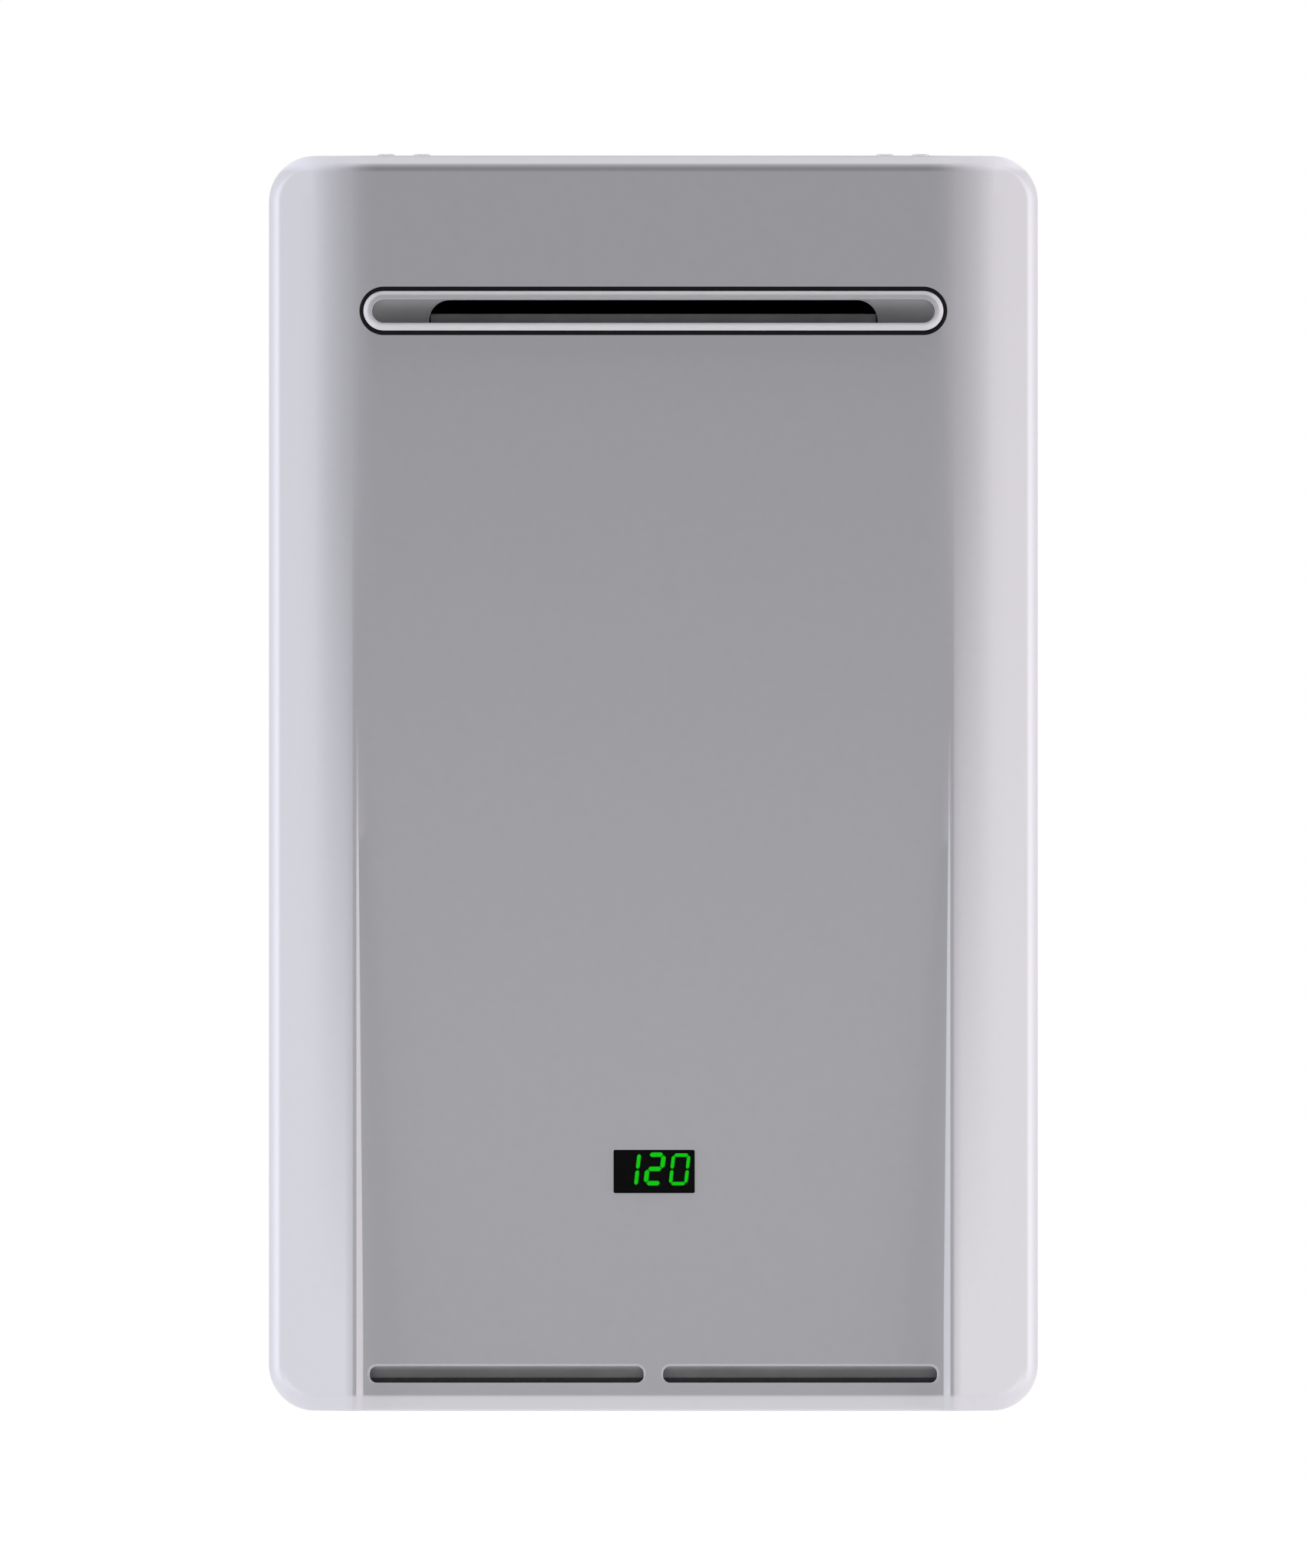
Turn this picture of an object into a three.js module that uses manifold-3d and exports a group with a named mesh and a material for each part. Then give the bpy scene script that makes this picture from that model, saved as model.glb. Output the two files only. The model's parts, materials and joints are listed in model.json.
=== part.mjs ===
// Outdoor tankless gas water heater, in millimetres, +Z up.
// Inside this file +X is to the right seen from the front, z counts up from the cover's lowest edge,
// and "off" is the distance off the wall, so a point lies at y = -off.
// The exported group has its origin at the centre of the upper wall bracket's back face.

import * as THREE from 'three';
import { mergeVertices } from 'three/addons/utils/BufferGeometryUtils.js';
import Module from 'manifold-3d';

const wasm = await Module();
wasm.setup();

// Driving dimensions

const unitWidth = 357;
const unitHeight = 582;
const unitDepth = 252;
const cornerRadius = 21;
const sheet = 1.2;
const wallGap = 12;
const coverFit = 0.5;
const seat = 0.3;
const overrun = 5;
const weld = 1e-4;

const caseSetback = 77;
const skirtOverlap = 15;
const exhaustFromTop = 72;
const hangFromTop = 39;
const displayHeight = 111;
const floorHeight = 38;

const caseFront = unitDepth - caseSetback;
const skirtBack = caseFront - skirtOverlap;
const exhaustHeight = unitHeight - exhaustFromTop;
const hangHeight = unitHeight - hangFromTop;

// Materials

function finish(colour, roughness, metalness) {
  return new THREE.MeshStandardMaterial({ color: colour, roughness, metalness });
}

const finishes = {
  silverPaint: () => finish(0xb4b4bb, 0.38, 0.35),
  greyPaint: () => finish(0xa9a9b0, 0.5, 0.3),
  stainless: () => finish(0xc9cacf, 0.28, 0.9),
  galvanised: () => finish(0x9fa3a6, 0.45, 0.8),
  copper: () => finish(0xb8734a, 0.35, 0.9),
  brass: () => finish(0xb99a58, 0.35, 0.85),
  castAluminium: () => finish(0xa5a7aa, 0.5, 0.8),
  blackRubber: () => finish(0x111113, 0.75, 0),
  smokedLens: () => finish(0x060607, 0.12, 0),
  blackPlastic: () => finish(0x1b1c1e, 0.5, 0),
  greyPlastic: () => finish(0x4a4c50, 0.5, 0),
  whitePlastic: () => finish(0xd9d9d4, 0.5, 0),
  boardGreen: () => finish(0x1d5b3a, 0.5, 0),
  blackenedSteel: () => finish(0x2b2c2f, 0.6, 0.5),
  steel: () => finish(0xb0b2b5, 0.35, 0.9),
  redCable: () => finish(0x8c1f1c, 0.55, 0),
};

// Solids. A solid is a closed shape that can be joined and cut.

function solid(geometry) {
  const bare = geometry.index ? geometry.toNonIndexed() : geometry.clone();
  bare.deleteAttribute('normal');
  bare.deleteAttribute('uv');
  const merged = mergeVertices(bare, weld);
  const points = new Float32Array(merged.attributes.position.array);
  const corners = merged.index.array;
  const kept = [];
  for (let i = 0; i < corners.length; i += 3) {
    const [a, b, c] = [corners[i], corners[i + 1], corners[i + 2]];
    if (a !== b && b !== c && c !== a) kept.push([a, b, c]);
  }
  const at = (i) => new THREE.Vector3().fromArray(points, i * 3);
  const volume = kept.reduce((sum, [a, b, c]) => sum + at(a).dot(at(b).cross(at(c))), 0);
  const turnedRight = volume < 0 ? kept.map(([a, b, c]) => [a, c, b]) : kept;
  const triVerts = new Uint32Array(turnedRight.flat());
  return new wasm.Manifold(new wasm.Mesh({ numProp: 3, vertProperties: points, triVerts }));
}

function join(...solids) {
  return solids.slice(1).reduce((whole, next) => whole.add(next), solids[0]);
}

function cut(from, ...tools) {
  return tools.reduce((rest, tool) => rest.subtract(tool), from);
}

function repeat(count, make) {
  return Array.from({ length: count }, (_, index) => make(index));
}

function mesh(name, shape, material) {
  const { vertProperties, triVerts } = shape.getMesh();
  const geometry = new THREE.BufferGeometry();
  geometry.setAttribute('position', new THREE.BufferAttribute(vertProperties, 3));
  geometry.setIndex(new THREE.BufferAttribute(triVerts, 1));
  geometry.computeVertexNormals();
  const made = new THREE.Mesh(geometry, material);
  made.name = name;
  return made;
}

// Primitive shapes, placed by x, off and z

function block([x0, x1], [off0, off1], [z0, z1]) {
  const geometry = new THREE.BoxGeometry(x1 - x0, off1 - off0, z1 - z0);
  return solid(geometry.translate((x0 + x1) / 2, -(off0 + off1) / 2, (z0 + z1) / 2));
}

function cone(r0, r1, length, sides) {
  return new THREE.CylinderGeometry(r1, r0, length, sides);
}

function uprightRod(r, x, off, [z0, z1], sides = 24, rTop = r) {
  const geometry = cone(r, rTop, z1 - z0, sides).rotateX(Math.PI / 2);
  return solid(geometry.translate(x, -off, (z0 + z1) / 2));
}

function forwardRod(r, x, z, [off0, off1], sides = 24, rFront = r) {
  const geometry = cone(rFront, r, off1 - off0, sides);
  return solid(geometry.translate(x, -(off0 + off1) / 2, z));
}

function acrossRod(r, off, z, [x0, x1], sides = 24) {
  const geometry = cone(r, r, x1 - x0, sides).rotateZ(-Math.PI / 2);
  return solid(geometry.translate((x0 + x1) / 2, -off, z));
}

function uprightTube(rOuter, rInner, x, off, [z0, z1], sides = 24) {
  const bore = uprightRod(rInner, x, off, [z0 - overrun, z1 + overrun], sides);
  return cut(uprightRod(rOuter, x, off, [z0, z1], sides), bore);
}

function forwardTube(rOuter, rInner, x, z, [off0, off1], sides = 24) {
  const bore = forwardRod(rInner, x, z, [off0 - overrun, off1 + overrun], sides);
  return cut(forwardRod(rOuter, x, z, [off0, off1], sides), bore);
}

function rounded([x0, x1], [y0, y1], r) {
  const shape = new THREE.Shape();
  shape.absarc(x1 - r, y0 + r, r, -Math.PI / 2, 0, false);
  shape.absarc(x1 - r, y1 - r, r, 0, Math.PI / 2, false);
  shape.absarc(x0 + r, y1 - r, r, Math.PI / 2, Math.PI, false);
  shape.absarc(x0 + r, y0 + r, r, Math.PI, Math.PI * 1.5, false);
  return shape;
}

// A slot outline: two half circles joined by straight edges
function stadium([x0, x1], [y0, y1]) {
  const r = (y1 - y0) / 2;
  const shape = new THREE.Shape();
  shape.absarc(x1 - r, y0 + r, r, -Math.PI / 2, Math.PI / 2, false);
  shape.absarc(x0 + r, y0 + r, r, Math.PI / 2, Math.PI * 1.5, false);
  return shape;
}

function polygon(points) {
  return new THREE.Shape(points.map(([x, y]) => new THREE.Vector2(x, y)));
}

// Prisms. The first two coordinates of the shape are (x, z), (x, off) or (off, z).

function forwardPrism(shape, [off0, off1], curveSegments = 6) {
  const options = { depth: off1 - off0, bevelEnabled: false, curveSegments };
  return solid(new THREE.ExtrudeGeometry(shape, options).translate(0, 0, off0).rotateX(Math.PI / 2));
}

function uprightPrism(shape, [z0, z1], curveSegments = 6) {
  const options = { depth: z1 - z0, bevelEnabled: false, curveSegments };
  return solid(new THREE.ExtrudeGeometry(shape, options).scale(1, -1, 1).translate(0, 0, z0));
}

function acrossPrism(shape, [x0, x1], curveSegments = 6) {
  const options = { depth: x1 - x0, bevelEnabled: false, curveSegments };
  const alongX = new THREE.Matrix4().makeBasis(
    new THREE.Vector3(0, -1, 0),
    new THREE.Vector3(0, 0, 1),
    new THREE.Vector3(1, 0, 0),
  );
  const geometry = new THREE.ExtrudeGeometry(shape, options).translate(0, 0, x0);
  return solid(geometry.applyMatrix4(alongX));
}

// A tube's centre line: straight runs between corners, with each corner rounded by an arc

class Route extends THREE.Curve {
  constructor(stations) {
    super();
    this.stations = stations;
  }

  getUtoTmapping(u) {
    return u;
  }

  station(t) {
    return Math.round(t * (this.stations.length - 1));
  }

  getPoint(t, target = new THREE.Vector3()) {
    return target.copy(this.stations[this.station(t)].point);
  }

  getTangent(t, target = new THREE.Vector3()) {
    return target.copy(this.stations[this.station(t)].tangent);
  }
}

function bentStations(corners, bend, steps) {
  const points = corners.map(([x, off, z]) => new THREE.Vector3(x, -off, z));
  const stations = [];
  points.forEach((point, i) => {
    if (i === 0 || i === points.length - 1) {
      const from = points[Math.max(i - 1, 0)];
      const to = points[Math.min(i + 1, points.length - 1)];
      stations.push({ point, tangent: to.clone().sub(from).normalize() });
      return;
    }
    const before = point.clone().sub(points[i - 1]).normalize();
    const after = points[i + 1].clone().sub(point).normalize();
    const turn = before.angleTo(after);
    const axis = before.clone().cross(after).normalize();
    const centre = point.clone()
      .addScaledVector(before, -bend * Math.tan(turn / 2))
      .addScaledVector(axis.clone().cross(before), bend);
    for (let step = 0; step <= steps; step += 1) {
      const angle = (turn * step) / steps;
      const tangent = before.clone().applyAxisAngle(axis, angle);
      const out = tangent.clone().cross(axis).multiplyScalar(bend);
      stations.push({ point: centre.clone().add(out), tangent });
    }
  });
  return stations;
}

function tubeAlong(stations, radius, sides) {
  const section = repeat(sides, (i) => {
    const angle = (2 * Math.PI * i) / sides;
    return [radius * Math.cos(angle), radius * Math.sin(angle)];
  });
  const options = { steps: stations.length - 1, extrudePath: new Route(stations), bevelEnabled: false };
  return solid(new THREE.ExtrudeGeometry(polygon(section), options));
}

function pipe(corners, radius, bend, sides = 12, steps = 3) {
  return tubeAlong(bentStations(corners, bend, steps), radius, sides);
}

const unit = new THREE.Group();

function place(name, shape, material) {
  unit.add(mesh(name, shape, material));
}

function placeTurning(name, shape, material, [x, off, z]) {
  const made = mesh(name, shape, material);
  made.position.set(x, -off, z);
  unit.add(made);
}

// Front cover: a pressed sheet with bevelled sides. At the top the bevels blend into the centre
// panel. Towards the bottom a crisp ridge rises on each side and the panel lies behind it.

const bevelAngle = 35 * THREE.MathUtils.DEG2RAD;
const bevelWidth = 39.1;
const ridgeRise = 3.6;
const ridgeFlat = 1.9;
const ridgeWallShare = 0.92;
const bevelColumnShares = [1 / 3, 2 / 3];
const leastWallRun = 0.6;
const blendRadius = 52;
const edgeRadius = 6.5;
const edgeStepShares = [0, 0.18, 0.58, 1];
const ridgeStart = 430;
const ridgeFull = 40;
const rowHeights = [40, 140, 240, 330, 430, 500];
const cornerSteps = 6;

const panelFace = unitDepth - ridgeRise;
const ridgeX = unitWidth / 2 - bevelWidth;
const bevelSlope = Math.tan(bevelAngle);
const planesMeet = ridgeX + ridgeRise / bevelSlope;
const blendInner = planesMeet - blendRadius * Math.tan(bevelAngle / 2);
const blendOuter = blendInner + blendRadius * Math.sin(bevelAngle);

function ridgeShare(z) {
  return THREE.MathUtils.clamp((ridgeStart - z) / (ridgeStart - ridgeFull), 0, 1);
}

function bevelPlane(across) {
  return unitDepth - (across - ridgeX) * bevelSlope;
}

function blendedFace(across) {
  if (across <= blendInner) return panelFace;
  if (across >= blendOuter) return bevelPlane(across);
  const run = across - blendInner;
  return panelFace - (blendRadius - Math.sqrt(blendRadius ** 2 - run ** 2));
}

function ridgeHeight(z) {
  return THREE.MathUtils.lerp(blendedFace(ridgeX), unitDepth, ridgeShare(z)) - panelFace;
}

function wallFoot(z) {
  return ridgeX - ridgeFlat - Math.max(leastWallRun, ridgeWallShare * ridgeHeight(z));
}

function coverFace(x, z) {
  const across = Math.abs(x);
  const height = ridgeHeight(z);
  if (across >= ridgeX) {
    return THREE.MathUtils.lerp(blendedFace(across), bevelPlane(across), ridgeShare(z));
  }
  if (height <= 0) {
    return panelFace + ((blendedFace(across) - panelFace) * height) / (blendedFace(ridgeX) - panelFace);
  }
  const flatEdge = ridgeX - ridgeFlat;
  const foot = wallFoot(z);
  return panelFace + height * THREE.MathUtils.clamp((across - foot) / (flatEdge - foot), 0, 1);
}

function edgeDrop(inset, radius) {
  return inset >= radius ? 0 : radius - Math.sqrt(radius ** 2 - (radius - inset) ** 2);
}

// Columns of the face at a height, from left to right, inside the corner radius
function faceColumns(z) {
  const edge = unitWidth / 2 - cornerRadius;
  const bevelColumns = bevelColumnShares.map((share) => THREE.MathUtils.lerp(ridgeX, edge, share));
  const right = [blendInner, wallFoot(z), ridgeX - ridgeFlat, ridgeX, ...bevelColumns, edge];
  return [...right.map((x) => -x).reverse(), ...right];
}

function faceRows() {
  return [cornerRadius, ...rowHeights, unitHeight - cornerRadius];
}

// One closed ring round the front, drawn in from the outline, with a point for each face row
// and column so that rings and face share their edge
function outlineRing(inset) {
  const right = unitWidth / 2 - inset;
  const top = unitHeight - inset;
  const rows = faceRows();
  const radius = cornerRadius - inset;
  const corner = (centreX, centreZ, start) => repeat(cornerSteps - 1, (i) => {
    const angle = start + (Math.PI / 2) * ((i + 1) / cornerSteps);
    return [centreX + radius * Math.cos(angle), centreZ + radius * Math.sin(angle)];
  });
  const cornerX = unitWidth / 2 - cornerRadius;
  const cornerTop = unitHeight - cornerRadius;
  return [
    ...faceColumns(inset).map((x) => [x, inset]),
    ...corner(cornerX, cornerRadius, -Math.PI / 2),
    ...rows.map((z) => [right, z]),
    ...corner(cornerX, cornerTop, 0),
    ...faceColumns(top).reverse().map((x) => [x, top]),
    ...corner(-cornerX, cornerTop, Math.PI / 2),
    ...rows.slice().reverse().map((z) => [-right, z]),
    ...corner(-cornerX, cornerRadius, Math.PI),
  ];
}

function ringFaces(from, to) {
  const faces = [];
  from.forEach((point, i) => {
    const next = (i + 1) % from.length;
    faces.push([point, from[next], to[next]], [point, to[next], to[i]]);
  });
  return faces;
}

// The cover's outer shape is filled back to the skirt, and its hollow is the same shape one sheet
// smaller all round
function coverBody(thinner, back) {
  const radius = edgeRadius - thinner;
  const lower = thinner / Math.cos(bevelAngle);
  const bands = [...edgeStepShares.map((share) => thinner + share * radius), cornerRadius];
  const lift = ([x, z], inset) => [x, -(coverFace(x, z) - lower - edgeDrop(inset - thinner, radius)), z];
  const rings = bands.map((inset) => outlineRing(inset).map((point) => lift(point, inset)));
  const backRing = outlineRing(thinner).map(([x, z]) => [x, -back, z]);
  const rows = faceRows().map((z) => faceColumns(z).map((x) => lift([x, z], cornerRadius)));
  const faces = ringFaces(backRing, rings[0]);
  rings.slice(1).forEach((ring, i) => faces.push(...ringFaces(rings[i], ring)));
  rows.slice(1).forEach((row, r) => {
    row.slice(1).forEach((point, c) => {
      faces.push([rows[r][c], rows[r][c + 1], point], [rows[r][c], point, row[c]]);
    });
  });
  const middle = [0, -back, unitHeight / 2];
  backRing.forEach((point, i) => faces.push([backRing[(i + 1) % backRing.length], point, middle]));
  const geometry = new THREE.BufferGeometry();
  geometry.setAttribute('position', new THREE.Float32BufferAttribute(faces.flat(2), 3));
  return solid(geometry);
}

// Exhaust opening: a wide slot with round ends near the top, where the fixed outlet comes through

const exhaustMargin = 42.2;
const exhaustCutHeight = 22.5;
const exhaustReach = unitWidth / 2 - exhaustMargin;

function exhaustOutline(inset) {
  const half = exhaustCutHeight / 2 - inset;
  const reach = exhaustReach - inset;
  return stadium([-reach, reach], [exhaustHeight - half, exhaustHeight + half]);
}

// Air intake slots at the bottom of the front, either side of a short web

const intakeCentre = 17.1;
const intakeTall = 7.1;
const intakeWeb = 9;
const intakeEndMargin = 47;
const intakeRadius = 3.2;

function intakeSlot(side) {
  const inner = intakeWeb / 2;
  const outer = unitWidth / 2 - intakeEndMargin;
  const span = side > 0 ? [inner, outer] : [-outer, -inner];
  return rounded(span, [intakeCentre - intakeTall / 2, intakeCentre + intakeTall / 2], intakeRadius);
}

// Display window opening

const windowWide = 37.4;
const windowTall = 20;
const windowRadius = 0.8;

function windowOutline(inset) {
  const wide = windowWide / 2 - inset;
  const tall = windowTall / 2 - inset;
  return rounded([-wide, wide], [displayHeight - tall, displayHeight + tall], windowRadius);
}

// Cover screws stand in the top of the case, and notches in the cover's top skirt slide over them

const screwMargin = 54.1;
const screwPitch = 16.7;
const screwSetback = 8;
const screwShank = 2;
const screwHead = 4;
const screwHeadTall = 2.8;
const notchHalf = 2.5;

const screwOff = caseFront - screwSetback;
const outerScrew = unitWidth / 2 - screwMargin;
const innerScrew = outerScrew - screwPitch;
const screwPlaces = [-outerScrew, -innerScrew, innerScrew, outerScrew];

function screwNotch(x) {
  const above = unitHeight + overrun;
  const below = unitHeight - sheet - overrun;
  return join(
    block([x - notchHalf, x + notchHalf], [skirtBack - overrun, screwOff], [below, above]),
    uprightRod(notchHalf, x, screwOff, [below, above], 16),
  );
}

const throughFace = [unitDepth - ridgeRise - sheet - overrun, unitDepth + overrun];

const frontCover = cut(
  coverBody(0, skirtBack),
  coverBody(sheet, skirtBack - overrun),
  forwardPrism(exhaustOutline(0), throughFace, 8),
  forwardPrism(intakeSlot(-1), throughFace, 4),
  forwardPrism(intakeSlot(1), throughFace, 4),
  forwardPrism(windowOutline(0), throughFace, 2),
  ...screwPlaces.map(screwNotch),
);
place('front_cover', frontCover, finishes.silverPaint());

// Display window: a smoked lens with a flange that rests behind the cover

const lensFit = 0.2;
const lensFlange = 3;
const lensFlangeThick = 1;
const lensProud = 0.3;

const coverBackFace = panelFace - sheet / Math.cos(bevelAngle);
const lensBack = coverBackFace - seat - lensFlangeThick;

place('display_window', join(
  forwardPrism(windowOutline(-lensFlange), [lensBack, lensBack + lensFlangeThick], 2),
  forwardPrism(windowOutline(lensFit), [lensBack, panelFace + lensProud], 2),
), finishes.smokedLens());

// Intake baffle: a bent strip behind the slots that keeps rain out and lets air rise past it

const baffleTop = 34;
const baffleFlange = 8;
const baffleFoot = 6;
const baffleDepth = 17;
const baffleSideGap = 3;

const baffleOff = coverBackFace - seat;
const baffleKnee = baffleTop - baffleFlange;
const baffleShape = polygon([
  [baffleOff, baffleTop],
  [baffleOff - sheet, baffleTop],
  [baffleOff - sheet, baffleKnee],
  [baffleOff - baffleDepth, baffleFoot + sheet],
  [baffleOff - baffleDepth, baffleFoot],
  [baffleOff, baffleKnee - sheet],
]);
const baffleReach = unitWidth / 2 - bevelWidth - baffleSideGap;
place('intake_baffle', acrossPrism(baffleShape, [-baffleReach, baffleReach]), finishes.greyPaint());

// Exhaust outlet ring: a rolled bead with a recessed plate and a wide mouth, fixed to the flue

const sealWall = 1.25;
const beadFront = 1.6;
const beadWide = 3.95;
const beadShares = [[0, 0.6], [0.15, 0.9], [0.4, 1], [0.65, 0.95], [0.87, 0.72], [1, 0.3]];
const beadRound = 3;
const outletDeep = 8.4;
const outletPlateThick = 1.5;
const outletFlange = 6;
const mouthMargin = 33.35;
const mouthTop = 5;
const mouthRadius = 8;

const outletPlateOff = panelFace - outletDeep;
const mouthWide = 2 * (exhaustReach - mouthMargin);
const ringInset = seat + sealWall + seat;
const recessInset = ringInset + beadWide;

function liftOutline(shape, off, curveSegments) {
  return shape.getPoints(curveSegments).map((point) => [point.x, -off, point.y]);
}

// A closed profile of [inset, off] points carried round an outline
function carriedRound(outlineAt, profile, curveSegments) {
  const rings = profile.map(([inset, off]) => liftOutline(outlineAt(inset), off, curveSegments));
  const faces = rings.flatMap((ring, i) => ringFaces(ring, rings[(i + 1) % rings.length]));
  const geometry = new THREE.BufferGeometry();
  geometry.setAttribute('position', new THREE.Float32BufferAttribute(faces.flat(2), 3));
  return solid(geometry);
}

const beadBase = panelFace + beadFront - beadRound;
const beadProfile = [
  [ringInset, outletPlateOff],
  ...beadShares.map(([across, up]) => [ringInset + across * beadWide, beadBase + up * beadRound]),
  [recessInset, outletPlateOff],
];
const outletPlateSpan = [outletPlateOff, outletPlateOff + outletPlateThick];
const mouthBottom = exhaustHeight - exhaustCutHeight / 2 + recessInset;
const mouthShape = rounded(
  [-mouthWide / 2, mouthWide / 2],
  [mouthBottom - 2 * mouthRadius, exhaustHeight + mouthTop],
  mouthRadius,
);
const mouthLimit = block(
  [-mouthWide / 2 - overrun, mouthWide / 2 + overrun],
  [outletPlateOff - overrun, unitDepth + overrun],
  [mouthBottom, exhaustHeight + mouthTop + overrun],
);
const mouthTool = forwardPrism(mouthShape, [outletPlateOff - overrun, outletPlateSpan[1] + overrun], 4)
  .intersect(mouthLimit);
place('exhaust_ring', join(
  carriedRound(exhaustOutline, beadProfile, 8),
  cut(forwardPrism(exhaustOutline(-outletFlange), outletPlateSpan, 8), mouthTool),
), finishes.stainless());

const sealOff = [outletPlateSpan[1] + seat, panelFace - seat];
place('exhaust_seal', cut(
  forwardPrism(exhaustOutline(seat), sealOff, 8),
  forwardPrism(exhaustOutline(seat + sealWall), [sealOff[0] - overrun, sealOff[1] + overrun], 8),
), finishes.blackRubber());

// Case shell: a rounded sleeve with a front lip, open at the bottom for the pipes

const lipWidth = 10;
const pocketMargin = 33.5;
const pocketGap = 10;
const pocketSetback = 17;

const pocketHalf = unitWidth / 2 - pocketMargin;
const pocketBack = wallGap + pocketGap;
const pocketFront = caseFront - pocketSetback;
const caseInset = sheet + coverFit;
const caseInner = caseInset + sheet;
const caseFloor = caseInner + seat;

function caseOutline(inset) {
  const right = unitWidth / 2 - inset;
  return rounded([-right, right], [inset, unitHeight - inset], cornerRadius - inset);
}

const shankSpan = [unitHeight - lipWidth, unitHeight + seat];
place('case_shell', cut(
  forwardPrism(caseOutline(caseInset), [wallGap, caseFront]),
  forwardPrism(caseOutline(caseInner), [wallGap - overrun, caseFront - sheet]),
  forwardPrism(caseOutline(caseInset + lipWidth), [caseFront - 2 * sheet, caseFront + overrun]),
  block([-pocketHalf, pocketHalf], [pocketBack, pocketFront], [-overrun, caseInner + overrun]),
  ...screwPlaces.map((x) => uprightRod(screwShank + seat, x, screwOff, shankSpan, 12)),
), finishes.greyPaint());

const caseLining = caseOutline(caseInner + seat);
const backPlateOff = [wallGap, wallGap + sheet];
const backFace = backPlateOff[1];
place('case_back', forwardPrism(caseLining, backPlateOff), finishes.galvanised());

// Cover screws

screwPlaces.forEach((x, index) => {
  const head = unitHeight + seat;
  place(`cover_screw_${index + 1}`, join(
    uprightRod(screwShank, x, screwOff, [unitHeight - lipWidth, head + screwHeadTall / 2], 12),
    uprightRod(screwHead, x, screwOff, [head, head + screwHeadTall], 16, screwHead - screwHeadTall / 2),
  ), finishes.steel());
});

// Gasket on the case's front lip

const gasketThick = 3;
const gasketInset = 1.5;
const gasketWide = 5;

const gasketOff = [caseFront + seat, caseFront + seat + gasketThick];
place('cover_gasket', cut(
  forwardPrism(caseOutline(caseInset + gasketInset), gasketOff),
  forwardPrism(
    caseOutline(caseInset + gasketInset + gasketWide),
    [gasketOff[0] - overrun, gasketOff[1] + overrun],
  ),
), finishes.blackRubber());

// Wall brackets: hat sections fixed to the case back, with their webs flat on the wall

const bracketMargin = 38.5;
const bracketSheet = 2;
const bracketWeb = 24;
const bracketTall = 40;
const lowerBracketHeight = 85;
const keyholeMargin = 30;
const keyholeBig = 6;
const keyholeSmall = 3.2;
const keyholeRise = 8;

const bracketWide = unitWidth - 2 * bracketMargin;
const keyholeX = bracketWide / 2 - keyholeMargin;
const footOff = wallGap - seat;

function hatSection(centre) {
  const upper = [
    [0, bracketWeb / 2],
    [footOff - bracketSheet, bracketWeb / 2],
    [footOff - bracketSheet, bracketTall / 2],
    [footOff, bracketTall / 2],
    [footOff, bracketWeb / 2 - bracketSheet],
    [bracketSheet, bracketWeb / 2 - bracketSheet],
  ];
  const lower = upper.map(([off, z]) => [off, -z]).reverse();
  const points = [...upper, ...lower].map(([off, z]) => [off, centre + z]);
  return acrossPrism(polygon(points), [-bracketWide / 2, bracketWide / 2]);
}

function keyhole(x, rise) {
  const span = [-overrun, bracketSheet + overrun];
  const base = hangHeight - keyholeBig / 2;
  return join(
    forwardRod(keyholeBig, x, base, span, 20),
    block([x - keyholeSmall, x + keyholeSmall], span, [base, base + rise]),
    forwardRod(keyholeSmall, x, base + rise, span, 16),
  );
}

place('upper_wall_bracket', cut(
  hatSection(hangHeight),
  keyhole(-keyholeX, keyholeRise),
  keyhole(keyholeX, keyholeRise),
), finishes.galvanised());

place('lower_wall_bracket', cut(
  hatSection(lowerBracketHeight),
  ...[-keyholeX, keyholeX].map((x) => (
    forwardRod(keyholeSmall, x, lowerBracketHeight, [-overrun, bracketSheet + overrun], 16))),
), finishes.galvanised());

// Places of the fittings in the bottom plate

const portMargin = 48.5;
const plugSetback = 25;
const plugPitch = 38;
const gasPitch = 62;
const gasStep = 10;
const glandShift = 88;
const nippleRadius = 13.2;
const nippleBore = 9.5;
const nippleBottom = 8;
const plugCapRadius = 13;
const glandBore = 5;
const glandThread = 9;

const portX = unitWidth / 2 - portMargin;
const plugOff = pocketFront - plugSetback;
const portOff = plugOff - plugPitch;
const gasX = portX - gasPitch;
const gasOff = portOff + gasStep;
const glandX = gasX - glandShift;
const glandOff = plugOff;

// Bottom plate: a level floor over the pipe pocket, a front wall and a foot

const pocketWallGap = 1;
const footRun = 12;

const pocketWallOff = pocketFront + pocketWallGap;
const floorTop = floorHeight + sheet;
const plateShape = polygon([
  [backFace + seat, floorHeight],
  [backFace + seat, floorTop],
  [pocketWallOff + sheet, floorTop],
  [pocketWallOff + sheet, caseFloor + sheet],
  [pocketWallOff + footRun, caseFloor + sheet],
  [pocketWallOff + footRun, caseFloor],
  [pocketWallOff, caseFloor],
  [pocketWallOff, floorHeight],
]);
const throughFloor = [floorHeight - overrun, floorTop + overrun];
const floorHole = (r, x, off) => uprightRod(r + seat, x, off, throughFloor, 24);
place('bottom_plate', cut(
  acrossPrism(plateShape, [-unitWidth / 2, unitWidth / 2])
    .intersect(forwardPrism(caseLining, [wallGap, unitDepth])),
  floorHole(nippleRadius, -portX, portOff),
  floorHole(nippleRadius, portX, portOff),
  floorHole(plugCapRadius, -portX, plugOff),
  floorHole(plugCapRadius, portX, plugOff),
  floorHole(nippleRadius, gasX, gasOff),
  floorHole(glandThread, glandX, glandOff),
), finishes.galvanised());

// Fan place, beside the hot outlet and clear above the floor. The fan's motor stays clear above the
// bypass pipe that runs behind the fan.

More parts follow.
